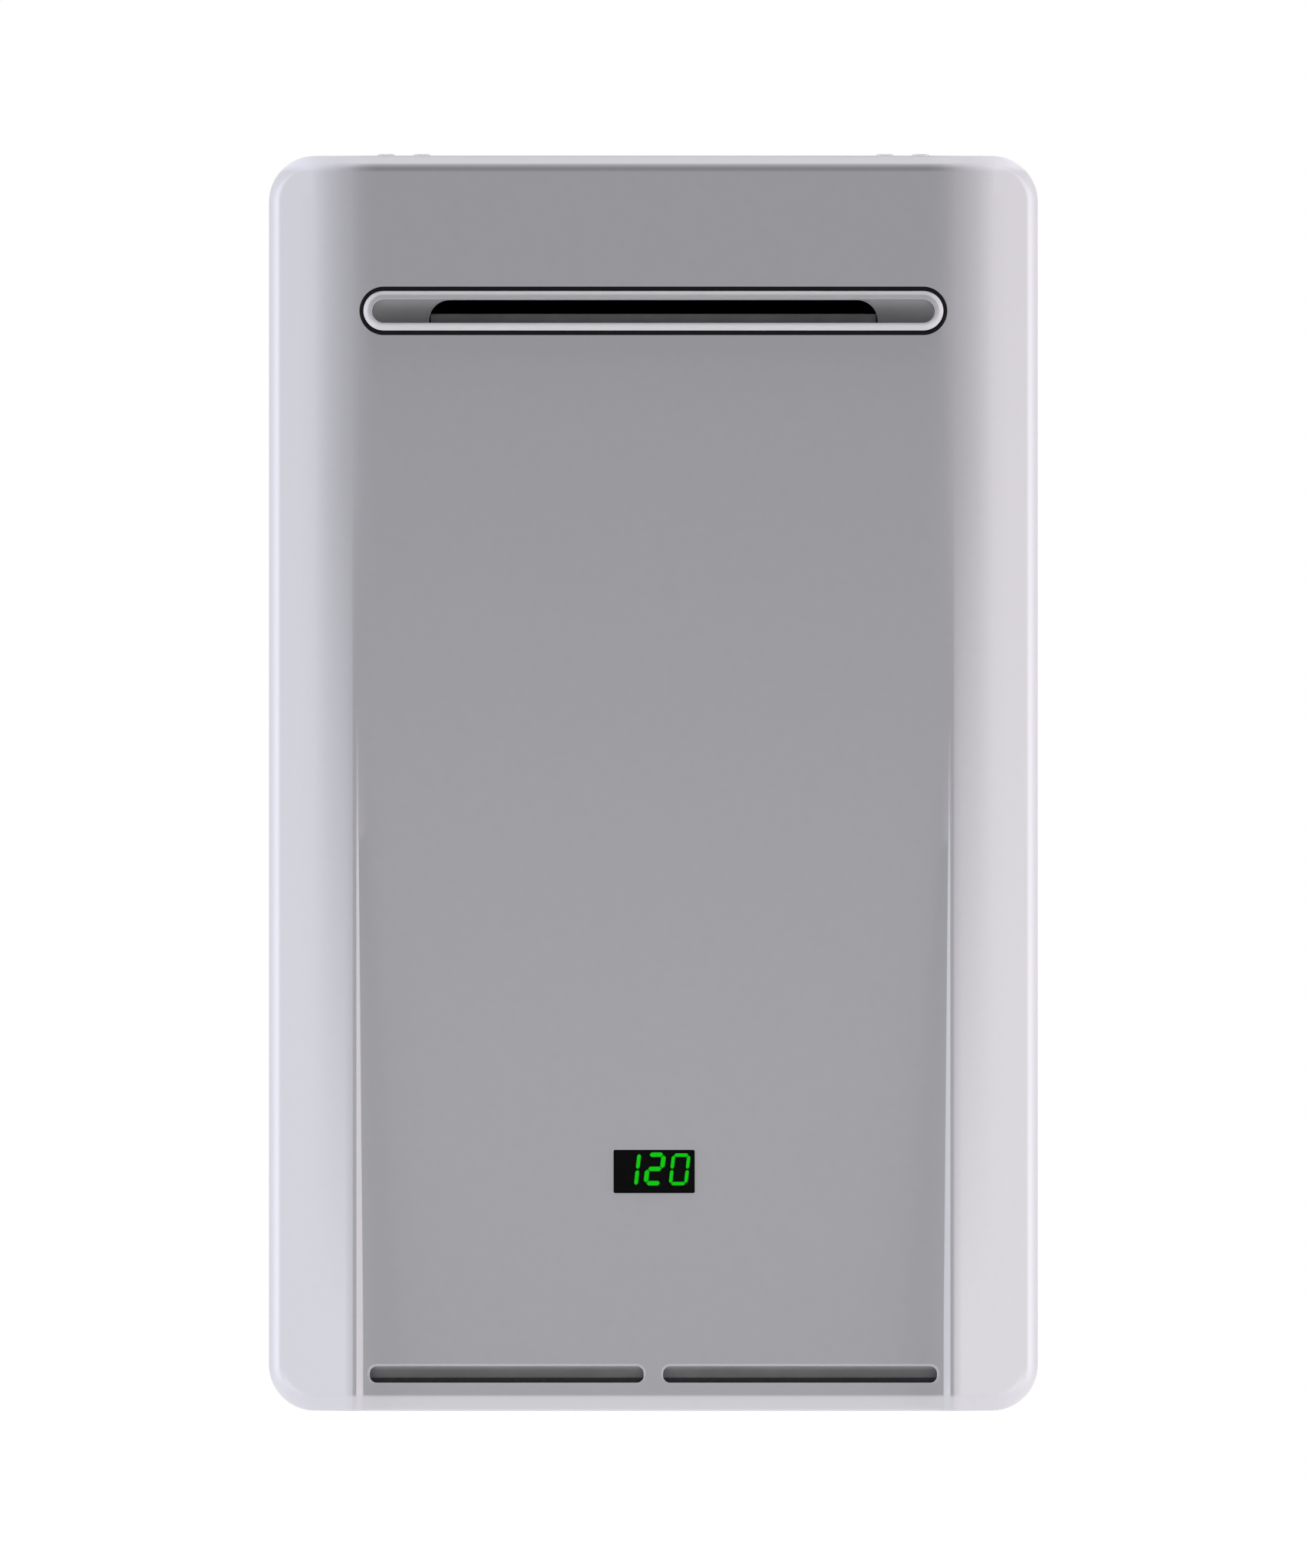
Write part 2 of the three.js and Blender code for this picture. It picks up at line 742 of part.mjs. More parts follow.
const fanRadius = 66;
const fanBack = 58;
const fanDepth = 55;
const fanFloorGap = 16.8;
const fittingFlange = 20;
const valveHalf = 28;
const outletWall = 2;
const motorRadius = 30;
const motorGap = 5;
const bypassLift = 25.5;
const bypassRadius = 6;

const fanX = -portX + fittingFlange + fanRadius - outletWall;
const fanOff = [fanBack, fanBack + fanDepth];
const outletX = [fanX, fanX + fanRadius];
const fittingBase = floorTop + seat;
const bypassLow = fittingBase + bypassLift;
const fanZ = Math.max(
  floorTop + fanFloorGap + fanRadius,
  bypassLow + bypassRadius + motorGap + motorRadius,
);

// Combustion stack, from the bottom up: burner box, jacket, heat exchanger core and flue hood. The
// burner box stands over the fan's outlet, clear above both the fan and the control box.

const stackMargin = 78.5;
const stackGap = 19;
const stackSetback = 61.8;
const fanRoof = 17.5;
const controlRoof = 39.5;
const controlTall = 110;
const burnerTall = 79.5;
const coreTall = 42.4;
const hoodAbove = 20;
const hoodBelow = 63;

const stackHalf = unitWidth / 2 - stackMargin;
const stackOff = [backFace + stackGap, unitDepth - stackSetback];
const stackX = [-stackHalf, stackHalf];
const controlTop = displayHeight + controlTall / 2;
const burnerBottom = Math.max(fanZ + fanRadius + fanRoof, controlTop + controlRoof);
const burnerTop = burnerBottom + burnerTall;
const hoodBottom = exhaustHeight - hoodBelow;
const hoodTop = exhaustHeight + hoodAbove;
const coreSpan = [hoodBottom - seat - coreTall, hoodBottom - seat];
const jacketSpan = [burnerTop + seat, coreSpan[0] - seat];

function grown([low, high], by) {
  return [low - by, high + by];
}

const stackInner = [grown(stackX, -sheet), grown(stackOff, -sheet)];

// Burner box

const ductLap = 4;
const windowEnd = 10;
const burnerRowLift = 30.5;
const windowHalf = 7;
const electrodeX = 40;
const electrodeDrop = 8;
const ceramicRadius = 4;
const boxFootWide = 20;
const boxFootTall = 12;
const boxFootInset = 25;

const gasRow = burnerBottom + burnerRowLift;
const electrodeZ = burnerTop - electrodeDrop;
const boxFront = stackOff[1];
const throughBoxFront = grown([boxFront - sheet, boxFront], overrun);
const boxFootX = stackHalf - boxFootInset;

function boxFoot(x) {
  const across = [x - boxFootWide / 2, x + boxFootWide / 2];
  return block(across, [backFace + seat, stackOff[0] + sheet / 2], [gasRow, gasRow + boxFootTall]);
}

place('burner_box', cut(
  join(block(stackX, stackOff, [burnerBottom, burnerTop]), boxFoot(-boxFootX), boxFoot(boxFootX)),
  block(...stackInner, [burnerBottom + sheet, burnerTop + overrun]),
  block(grown(outletX, -ductLap), grown(fanOff, -ductLap), grown([burnerBottom, burnerBottom], overrun)),
  block(grown(stackX, -windowEnd), throughBoxFront, [gasRow - windowHalf, gasRow + windowHalf]),
  ...[-electrodeX, electrodeX].map((x) => (
    forwardRod(ceramicRadius + seat, x, electrodeZ, throughBoxFront, 12))),
), finishes.galvanised());

// Burner rack: a row of hollow-nosed burner bars on a slotted base with legs

const burnerCount = 10;
const burnerWide = 9;
const burnerEndGap = 8;
const burnerBarTall = 46;
const burnerBaseLift = 16.5;
const venturiRadius = 3;
const venturiDeep = 12;
const rackGap = 3;
const slotWide = 5;
const legWide = 6;

const rackHalf = stackHalf - sheet - rackGap;
const rackOff = [stackOff[0] + burnerEndGap, boxFront - burnerEndGap];
const rackBase = [burnerBottom + burnerBaseLift, burnerBottom + burnerBaseLift + sheet];
const burnerPitch = (2 * rackHalf) / burnerCount;
const burnerX = (index) => -rackHalf + burnerPitch * (index + 0.5);

function burnerBar(index) {
  const x = burnerX(index);
  const bar = block(
    [x - burnerWide / 2, x + burnerWide / 2],
    rackOff,
    [rackBase[1] - sheet / 2, rackBase[1] + burnerBarTall],
  );
  return cut(bar, forwardRod(venturiRadius, x, gasRow, [rackOff[1] - venturiDeep, rackOff[1] + overrun], 8));
}

function rackSlot(index) {
  const x = burnerX(index) + burnerPitch / 2;
  return block([x - slotWide / 2, x + slotWide / 2], grown(rackOff, -burnerEndGap), grown(rackBase, overrun));
}

function rackLeg(x, off) {
  return block(
    [x - legWide / 2, x + legWide / 2],
    [off - legWide / 2, off + legWide / 2],
    [burnerBottom + sheet + seat, rackBase[0] + sheet / 2],
  );
}

const legX = rackHalf - legWide / 2;
const legOffs = [rackOff[0] + legWide / 2, rackOff[1] - legWide / 2];
place('burner_rack', join(
  cut(block([-rackHalf, rackHalf], rackOff, rackBase), ...repeat(burnerCount - 1, rackSlot)),
  ...repeat(burnerCount, burnerBar),
  ...[-legX, legX].flatMap((x) => legOffs.map((off) => rackLeg(x, off))),
), finishes.stainless());

// Gas manifold: a hollow bar across the window with a nozzle for each burner

const manifoldDeep = 15.5;
const manifoldHalf = 10;
const manifoldWall = 2;
const manifoldEnd = 8;
const nozzleRadius = 2.2;
const nozzleReach = 6.5;
const gasPipeRadius = 7;
const gasPipeBore = 5.5;

const manifoldX = grown(stackX, -manifoldEnd);
const manifoldOff = [boxFront + seat, boxFront + seat + manifoldDeep];
const manifoldZ = [gasRow - manifoldHalf, gasRow + manifoldHalf];
const nozzleSpan = [manifoldOff[0] - nozzleReach, manifoldOff[0] + manifoldWall];
const gasInletSpan = [manifoldZ[0] - overrun, manifoldZ[0] + manifoldWall + overrun];
const manifoldMid = (manifoldOff[0] + manifoldOff[1]) / 2;
place('gas_manifold', cut(
  join(
    cut(
      block(manifoldX, manifoldOff, manifoldZ),
      block(...[manifoldX, manifoldOff, manifoldZ].map((span) => grown(span, -manifoldWall))),
    ),
    ...repeat(burnerCount, (i) => forwardRod(nozzleRadius, burnerX(i), gasRow, nozzleSpan, 8)),
  ),
  uprightRod(gasPipeBore, gasX, manifoldMid, gasInletSpan, 12),
), finishes.castAluminium());

// Electrodes: a ceramic in the box front with a plate outside and a wire over the burners

const ceramicReach = [14, 10];
const wireRadius = 1.2;
const wireReach = 28;
const plateHalf = 9;
const plateHalfTall = 6;
const terminalRadius = 2;
const terminalReach = 7;

function electrode(x) {
  const plate = [boxFront + seat, boxFront + seat + sheet];
  const ceramic = [boxFront - ceramicReach[0], boxFront + ceramicReach[1]];
  const wire = [ceramic[0] - wireReach, ceramic[0] + overrun];
  return join(
    block([x - plateHalf, x + plateHalf], plate, [electrodeZ - plateHalfTall, electrodeZ + plateHalfTall]),
    forwardRod(ceramicRadius, x, electrodeZ, ceramic, 12),
    forwardRod(wireRadius, x, electrodeZ, wire, 6),
    forwardRod(terminalRadius, x, electrodeZ, [ceramic[1] - overrun, ceramic[1] + terminalReach], 8),
  );
}

place('igniter_electrode', electrode(-electrodeX), finishes.whitePlastic());
place('flame_rod', electrode(electrodeX), finishes.whitePlastic());

// Combustion jacket and the water coil that is wound round it

const coilRadius = 7;
const coilPitch = 32;
const coilBend = 18;
const coilStartLift = 14.7;
const coilTopGap = 24;
const coilTailDrop = 23;
const coilSwing = 12.7;
const coreEdgeGap = 19.8;

place('combustion_jacket', cut(
  uprightPrism(rounded(stackX, stackOff, coilBend), jacketSpan, 4),
  uprightPrism(rounded(...stackInner, coilBend - sheet), grown(jacketSpan, overrun), 4),
), finishes.copper());

const coilClear = coilRadius + seat;
const coilX = stackHalf + coilClear;
const coilOff = grown(stackOff, coilClear);
const coilStart = jacketSpan[0] + coilStartLift;
const coilTurns = Math.max(0, Math.floor((jacketSpan[1] - coilTopGap - coilStart) / coilPitch));
const coilCorners = [[coilX, coilOff[0]], [-coilX, coilOff[0]], [-coilX, coilOff[1]], [coilX, coilOff[1]]];
const coreMidZ = (coreSpan[0] + coreSpan[1]) / 2;
const tubeRows = [stackOff[0] + coreEdgeGap, stackOff[1] - coreEdgeGap];
const coilLegZ = burnerTop - coilTailDrop;
const sideStub = stackHalf + sheet;

const jacketCoil = pipe([
  [coilX, portOff, coilLegZ],
  [coilX, portOff, coilStart],
  ...repeat(4 * coilTurns + 2, (k) => [...coilCorners[k % 4], coilStart + (coilPitch * (k + 0.5)) / 4]),
  [-coilX - coilSwing, tubeRows[0], coreSpan[0] - coilSwing],
  [-coilX - coilSwing, tubeRows[0], coreMidZ],
  [-sideStub - seat, tubeRows[0], coreMidZ],
], coilRadius, coilBend, 8, 3);
place('jacket_coil', jacketCoil, finishes.copper());

// Heat exchanger core: a finned box crossed by one serpentine tube

const rowCount = 4;
const returnReach = 19;
const finCount = 6;
const returnBendShare = 0.97;
const finThick = 0.8;
const finGap = 2;
const finEndGap = 10;

const rowPitch = (tubeRows[1] - tubeRows[0]) / (rowCount - 1);
const returnX = stackHalf + returnReach;
const serpentine = repeat(rowCount, (row) => {
  const off = tubeRows[0] + row * rowPitch;
  const ends = row % 2 === 0 ? [-returnX, returnX] : [returnX, -returnX];
  return ends.map((x) => [x, off, coreMidZ]);
}).flat();
serpentine[0] = [-sideStub, tubeRows[0], coreMidZ];
serpentine[serpentine.length - 1] = [-sideStub, tubeRows[1], coreMidZ];

const finPitch = (2 * (stackHalf - finEndGap)) / (finCount - 1);
place('heat_exchanger_core', join(
  cut(block(stackX, stackOff, coreSpan), block(...stackInner, grown(coreSpan, overrun))),
  pipe(serpentine, coilRadius, (rowPitch / 2) * returnBendShare, 8, 4),
  ...repeat(finCount, (i) => {
    const x = -stackHalf + finEndGap + i * finPitch;
    const finOff = grown(stackOff, -sheet - finGap);
    return block([x - finThick / 2, x + finThick / 2], finOff, grown(coreSpan, -finGap));
  }),
), finishes.copper());

// Flue hood with its nozzle, and the rain baffle inside the nozzle

const nozzleTall = 24;
const nozzleClear = 0.35;
const baffleBack = 24.5;
const baffleFootRun = 13;
const baffleBelowCentre = 1.2;

const nozzleHalf = mouthWide / 2 + nozzleClear + sheet;
const nozzleX = [-nozzleHalf, nozzleHalf];
const nozzleZ = [exhaustHeight - nozzleTall / 2, exhaustHeight + nozzleTall / 2];
const nozzleOff = [stackOff[1] - 2 * sheet, outletPlateOff - seat];
place('flue_hood', cut(
  join(block(stackX, stackOff, [hoodBottom, hoodTop]), block(nozzleX, nozzleOff, nozzleZ)),
  block(...stackInner, [hoodBottom - overrun, hoodTop - sheet]),
  block(grown(stackX, -sheet), [stackOff[1] - 2 * sheet, stackOff[1] + overrun], grown(nozzleZ, -sheet)),
  block(grown(nozzleX, -sheet), [nozzleOff[0] + sheet, nozzleOff[1] + overrun], grown(nozzleZ, -sheet)),
), finishes.stainless());

const baffleBase = nozzleZ[0] + sheet + seat;
const flueBaffleOff = nozzleOff[1] - baffleBack;
const flueBaffleShape = polygon([
  [flueBaffleOff, baffleBase],
  [flueBaffleOff, exhaustHeight - baffleBelowCentre],
  [flueBaffleOff + sheet, exhaustHeight - baffleBelowCentre],
  [flueBaffleOff + sheet, baffleBase + sheet],
  [flueBaffleOff + baffleFootRun, baffleBase + sheet],
  [flueBaffleOff + baffleFootRun, baffleBase],
]);
const flueBaffleReach = nozzleHalf - sheet - seat;
place(
  'flue_baffle',
  acrossPrism(flueBaffleShape, [-flueBaffleReach, flueBaffleReach]),
  finishes.blackenedSteel(),
);

// Overheat switch on the front of the hood

const switchX = 60;
const switchDrop = 32;
const switchRadius = 8;
const switchTall = 8;
const switchEar = 12;
const switchEarHalf = 4;
const tabHalf = 1.5;
const tabReach = 6;

// A flat push-on terminal that stands out of a front face
function terminalTab(x, off, z) {
  return block([x - tabHalf, x + tabHalf], [off - sheet, off + tabReach], [z, z + sheet]);
}

const switchZ = exhaustHeight - switchDrop;
const switchOff = [stackOff[1] + seat, stackOff[1] + seat + switchTall];
const switchBase = [switchOff[0], switchOff[0] + sheet];
place('overheat_switch', join(
  forwardRod(switchRadius, switchX, switchZ, switchOff, 20),
  block(grown([switchX, switchX], switchEar), switchBase, grown([switchZ, switchZ], switchEarHalf)),
  terminalTab(switchX - switchRadius / 2, switchOff[1], switchZ),
  terminalTab(switchX + switchRadius / 2, switchOff[1], switchZ),
), finishes.blackPlastic());

// Combustion fan: scroll housing with a duct up to the burner box, inlet plate, impeller and motor

const fanWall = 2;
const ductFlange = 6;
const impellerGap = 18;
const impellerLift = 2;
const impellerWide = 43;
const impellerDisc = 1.5;
const bladeCount = 14;
const bladeSpan = 13;
const bladeThick = 1.2;
const bladeTilt = 35 * THREE.MathUtils.DEG2RAD;
const fanShaft = 3;
const shaftBehind = 9;
const hubRadius = 7;
const hubDeep = 16;
const inletShare = 0.62;
const bellWall = 1.5;
const bellDeep = 6.5;
const motorDeep = 33.7;
const motorCap = 22;
const motorCapDeep = 5;

const ductTop = burnerBottom - seat;
const fanInside = [fanBack + fanWall, fanBack + fanDepth - fanWall];
const housingFace = fanOff[1];
place('fan_housing', cut(
  join(
    forwardRod(fanRadius, fanX, fanZ, fanOff, 32),
    block(outletX, fanOff, [fanZ, ductTop]),
    block(grown(outletX, ductFlange), grown(fanOff, ductFlange), [ductTop - fanWall, ductTop]),
  ),
  forwardRod(fanRadius - fanWall, fanX, fanZ, [fanInside[0], housingFace + overrun], 32),
  block(grown(outletX, -fanWall), fanInside, [fanZ, ductTop + overrun]),
  forwardRod(fanShaft + impellerLift, fanX, fanZ, grown([fanBack, fanInside[0]], overrun), 16),
), finishes.galvanised());

const impellerRadius = fanRadius - impellerGap;
const inletRadius = inletShare * impellerRadius;
const inletPlateOff = [housingFace + seat, housingFace + seat + fanWall];
place('fan_inlet_plate', cut(
  join(
    forwardRod(fanRadius, fanX, fanZ, inletPlateOff, 32),
    forwardRod(inletRadius + bellWall, fanX, fanZ, [housingFace - bellDeep, inletPlateOff[1]], 24),
  ),
  forwardRod(inletRadius, fanX, fanZ, grown(inletPlateOff, bellDeep + overrun), 24),
), finishes.galvanised());

function fanBlade(index) {
  const mid = impellerRadius - bladeSpan / 2;
  const geometry = new THREE.BoxGeometry(bladeSpan, impellerWide - impellerDisc, bladeThick)
    .rotateY(bladeTilt)
    .translate(mid, -impellerWide / 2, 0)
    .rotateY((2 * Math.PI * index) / bladeCount);
  return solid(geometry);
}

const impellerBack = fanInside[0] + impellerLift;
const discSpan = [0, impellerDisc];
const ringSpan = [impellerWide - impellerDisc, impellerWide];
placeTurning('fan_impeller', join(
  forwardRod(impellerRadius, 0, 0, discSpan, 32),
  forwardTube(impellerRadius, impellerRadius - bladeSpan, 0, 0, ringSpan, 32),
  ...repeat(bladeCount, fanBlade),
  forwardRod(hubRadius, 0, 0, [0, hubDeep], 16),
  forwardRod(fanShaft, 0, 0, [-impellerLift - fanWall - shaftBehind, hubDeep], 12),
), finishes.blackPlastic(), [fanX, impellerBack, fanZ]);

const motorOff = [fanBack - seat - motorDeep, fanBack - seat];
place('fan_motor', cut(
  join(
    forwardRod(motorRadius, fanX, fanZ, [motorOff[0] + motorCapDeep, motorOff[1]], 28),
    forwardRod(motorCap, fanX, fanZ, [motorOff[0], motorOff[1] - motorCapDeep], 24),
  ),
  forwardRod(fanShaft + seat, fanX, fanZ, [motorOff[1] - shaftBehind, motorOff[1] + overrun], 12),
), finishes.blackenedSteel());

// Gas train: threaded inlet, valve body with two solenoids and their plungers, and the gas pipe

const flangeThick = 4;
const gasFlangeHalf = 22;
const gasFlangeRound = 6;
const valveBack = 25;
const valveTall = 88;
const valveBoreDeep = 24;
const solenoidRadius = 15;
const solenoidDeep = 36;
const solenoidLift = 31.2;
const solenoidPitch = 37;
const plungerRadius = 5;
const plungerFit = 0.4;
const plungerLong = 30;
const plungerInSolenoid = 14.7;
const plungerTravel = 3;
const plungerSlack = 2;
const gasPipeDrop = 17.5;
const gasPipeBend = 14;

const gasFlange = rounded(
  [gasX - gasFlangeHalf, gasX + gasFlangeHalf],
  [gasOff - gasFlangeHalf, gasOff + gasFlangeHalf],
  gasFlangeRound,
);
place('gas_inlet_fitting', cut(
  join(
    uprightRod(nippleRadius, gasX, gasOff, [nippleBottom, fittingBase + flangeThick / 2], 24),
    uprightPrism(gasFlange, [fittingBase, fittingBase + flangeThick], 3),
  ),
  uprightRod(nippleBore, gasX, gasOff, [nippleBottom - overrun, fittingBase + flangeThick + overrun], 20),
), finishes.brass());

const valveBase = fittingBase + flangeThick + seat;
const valveZ = [valveBase, valveBase + valveTall];
const valveOff = [gasOff - valveBack, gasOff + valveBack];
const solenoidZ = [valveBase + solenoidLift, valveBase + solenoidLift + solenoidPitch];
const solenoidOff = [valveOff[1] + seat, valveOff[1] + seat + solenoidDeep];
const plungerOff = [solenoidOff[0] + plungerInSolenoid - plungerLong, solenoidOff[0] + plungerInSolenoid];
const plungerBore = plungerRadius + plungerFit;
const plungerEnds = [plungerOff[0] - plungerSlack, plungerOff[1] + plungerTravel + plungerSlack];
place('gas_valve_body', cut(
  block([gasX - valveHalf, gasX + valveHalf], valveOff, valveZ),
  uprightRod(nippleBore, gasX, gasOff, [valveBase - overrun, valveBase + valveBoreDeep], 20),
  uprightRod(gasPipeBore, gasX, gasOff, [solenoidZ[1], valveZ[1] + overrun], 16),
  ...solenoidZ.map((z) => forwardRod(plungerBore, gasX, z, [plungerEnds[0], valveOff[1] + overrun], 16)),
), finishes.castAluminium());

function solenoid(z) {
  return cut(
    join(
      forwardRod(solenoidRadius, gasX, z, solenoidOff, 24),
      terminalTab(gasX - solenoidRadius / 2, solenoidOff[1], z),
      terminalTab(gasX + solenoidRadius / 2, solenoidOff[1], z),
    ),
    forwardRod(plungerBore, gasX, z, [solenoidOff[0] - overrun, plungerEnds[1]], 16),
  );
}

place('main_solenoid', solenoid(solenoidZ[0]), finishes.blackPlastic());
place('modulating_solenoid', solenoid(solenoidZ[1]), finishes.greyPlastic());

const plunger = () => forwardRod(plungerRadius, 0, 0, [0, plungerLong], 16);
placeTurning('main_plunger', plunger(), finishes.steel(), [gasX, plungerOff[0], solenoidZ[0]]);
placeTurning('modulating_plunger', plunger(), finishes.steel(), [gasX, plungerOff[0], solenoidZ[1]]);

const gasRunZ = burnerBottom - gasPipeDrop;
place('gas_pipe', pipe([
  [gasX, gasOff, valveZ[1] + seat],
  [gasX, gasOff, gasRunZ],
  [gasX, manifoldMid, gasRunZ],
  [gasX, manifoldMid, manifoldZ[0] - seat],
], gasPipeRadius, gasPipeBend, 12, 4), finishes.copper());

// Water castings. Cold water comes in on the right past a filter, and hot water leaves on the left

const castingRadius = 15;
const castingTall = 56.5;
const chamberRadius = 14;
const chamberTall = 44.5;
const chamberBore = 10;
const chamberRoof = 5;
const webHalf = 8;
const passageRadius = 6;
const passageLift = 30.5;
const bossRadius = 9;
const bossReach = 23;
const bossBore = 4.5;

const castingTop = fittingBase + castingTall;

function portCasting(x) {
  const passageZ = fittingBase + passageLift;
  const webZ = [fittingBase, fittingBase + chamberTall - chamberRoof];
  return cut(
    join(
      uprightRod(castingRadius, x, portOff, [fittingBase, castingTop], 24),
      uprightRod(fittingFlange, x, portOff, [fittingBase, fittingBase + flangeThick], 24),
      uprightRod(nippleRadius, x, portOff, [nippleBottom, fittingBase + flangeThick / 2], 24),
      uprightRod(chamberRadius, x, plugOff, [fittingBase, fittingBase + chamberTall], 24),
      block([x - webHalf, x + webHalf], [portOff, plugOff], webZ),
    ),
    uprightRod(nippleBore, x, portOff, [nippleBottom - overrun, castingTop + overrun], 20),
    uprightRod(chamberBore, x, plugOff, [fittingBase - overrun, fittingBase + chamberTall - chamberRoof], 20),
    forwardRod(passageRadius, x, passageZ, [portOff, plugOff], 12),
  );
}

place('cold_inlet_fitting', portCasting(portX), finishes.brass());

const thermistorLift = 44;
const thermistorBoss = 8;
const thermistorBossReach = 17;
const thermistorRadius = 5;
const thermistorLong = 13;
const probeRadius = 2.5;
const probeFit = 0.4;
const probeReach = 14;

const thermistorZ = fittingBase + thermistorLift;
const thermistorX = -portX - thermistorBossReach;
const bypassBoss = (x, z) => forwardRod(bossRadius, x, z, [portOff - bossReach, portOff - nippleBore], 16);
const bypassBore = (x, z) => forwardRod(bossBore, x, z, [portOff - bossReach - overrun, portOff], 12);
place('hot_outlet_fitting', cut(
  join(
    portCasting(-portX),
    bypassBoss(-portX, bypassLow),
    acrossRod(thermistorBoss, portOff, thermistorZ, [thermistorX, -portX - nippleBore - seat], 16),
  ),
  bypassBore(-portX, bypassLow),
  uprightRod(nippleBore, -portX, portOff, [nippleBottom - overrun, castingTop + overrun], 20),
  acrossRod(probeRadius + probeFit, portOff, thermistorZ, [thermistorX - overrun, -portX], 12),
), finishes.brass());

const thermistorFace = thermistorX - seat;
place('outlet_thermistor', join(
  acrossRod(thermistorRadius, portOff, thermistorZ, [thermistorFace - thermistorLong, thermistorFace], 6),
  acrossRod(probeRadius, portOff, thermistorZ, [thermistorFace - sheet, thermistorX + probeReach], 10),
), finishes.brass());

// Plugs below the castings: one carries the water filter, and the other drains the unit

const capTall = 18.2;
const capSlot = 3;
const capSlotDeep = 3;
const plugFit = 0.4;
const basketRadius = 8;
const basketWall = 1.5;
const basketTall = 36;
const basketSolid = 9;
const basketWindow = 6;
const drainStem = 18;

const capSpan = [fittingBase - seat - capTall, fittingBase - seat];
const plugStem = chamberBore - plugFit;

function plugCap(x) {
  return cut(
    uprightRod(plugCapRadius, x, plugOff, capSpan, 24),
    block(
      [x - plugCapRadius, x + plugCapRadius],
      [plugOff - capSlot / 2, plugOff + capSlot / 2],
      [capSpan[0] - overrun, capSpan[0] + capSlotDeep],
    ),
  );
}

const basketTop = capSpan[1] + basketTall;
const basketWindows = [capSpan[1] + basketSolid, basketTop - basketWindow];
place('inlet_filter_plug', cut(
  join(
    plugCap(portX),
    uprightRod(plugStem, portX, plugOff, [capSpan[1] - sheet, capSpan[1] + basketSolid], 20),
    uprightRod(basketRadius, portX, plugOff, [capSpan[1], basketTop], 20),
  ),
  uprightRod(basketRadius - basketWall, portX, plugOff, [capSpan[1] + basketSolid, basketTop + overrun], 20),
  block(
    [portX - basketRadius - overrun, portX + basketRadius + overrun],
    [plugOff - basketWindow / 2, plugOff + basketWindow / 2],
    basketWindows,
  ),
  block(
    [portX - basketWindow / 2, portX + basketWindow / 2],
    grown([plugOff, plugOff], basketRadius + overrun),
    basketWindows,
  ),
), finishes.blackPlastic());

place('drain_plug', join(
  plugCap(-portX),
  uprightRod(plugStem, -portX, plugOff, [capSpan[1] - sheet, capSpan[1] + drainStem], 20),
), finishes.blackPlastic());

// Flow sensor with its turbine on the cold casting

const sensorRadius = 17;
const sensorTall = 40;
const sensorBore = 12;
const spiderHalf = 2;
const spiderTall = 4.7;
const spiderInset = 2.7;
const pivotRadius = 1.5;
const pivotFit = 0.3;
const turbineHub = 4;
const turbineTip = 11;
const turbineBlades = 5;
const turbineBladeTall = 20;
const turbineTilt = 30 * THREE.MathUtils.DEG2RAD;
const sensorPod = 8;
const sensorPodTall = 20;

const sensorZ = [castingTop + seat, castingTop + seat + sensorTall];
const spiderLow = [sensorZ[0] + spiderInset, sensorZ[0] + spiderInset + spiderTall];
const spiderHigh = [sensorZ[1] - spiderInset - spiderTall, sensorZ[1] - spiderInset];

function spider(span) {
  const reach = sensorBore + sheet;
  return join(
    block([portX - reach, portX + reach], grown([portOff, portOff], spiderHalf), span),
    uprightRod(turbineHub, portX, portOff, span, 12),
  );
}

const podZ = (sensorZ[0] + sensorZ[1]) / 2;
place('flow_sensor_body', cut(
  join(
    uprightTube(sensorRadius, sensorBore, portX, portOff, sensorZ, 24),
    spider(spiderLow),
    spider(spiderHigh),
    block(
      [portX - sensorPod, portX + sensorPod],
      [portOff + sensorBore + sheet, portOff + sensorRadius + sensorPod],
      grown([podZ, podZ], sensorPodTall / 2),
    ),
  ),
  uprightRod(pivotRadius + pivotFit, portX, portOff, grown(sensorZ, overrun), 12),
), finishes.blackPlastic());

const hubSpan = [spiderLow[1] + seat, spiderHigh[0] - seat];
const hubTall = hubSpan[1] - hubSpan[0];
const pivotEnd = spiderTall - seat;
placeTurning('flow_turbine', join(
  uprightRod(turbineHub, 0, 0, [0, hubTall], 12),
  uprightRod(pivotRadius, 0, 0, [-pivotEnd, hubTall + pivotEnd], 10),
  ...repeat(turbineBlades, (index) => {
    const geometry = new THREE.BoxGeometry(turbineTip, bladeThick, turbineBladeTall)
      .rotateX(turbineTilt)
      .translate(turbineTip / 2, 0, hubTall / 2)
      .rotateZ((2 * Math.PI * index) / turbineBlades);
    return solid(geometry).intersect(uprightRod(turbineTip, 0, 0, [0, hubTall], 24));
  }),
), finishes.whitePlastic(), [portX, portOff, hubSpan[0]]);

// Water control valve: a body with a disc on a crossways shaft, turned by a small motor

const waterValveRadius = 18;
const waterValveTall = 48;
const waterValveBore = 11.5;
const discRadius = 11;
const discThick = 2.4;
const discShaft = 3;
const valveMotorHalf = 17;
const valveMotorTall = 40;
const valveMotorDeep = 37;
const shaftInMotor = 15;

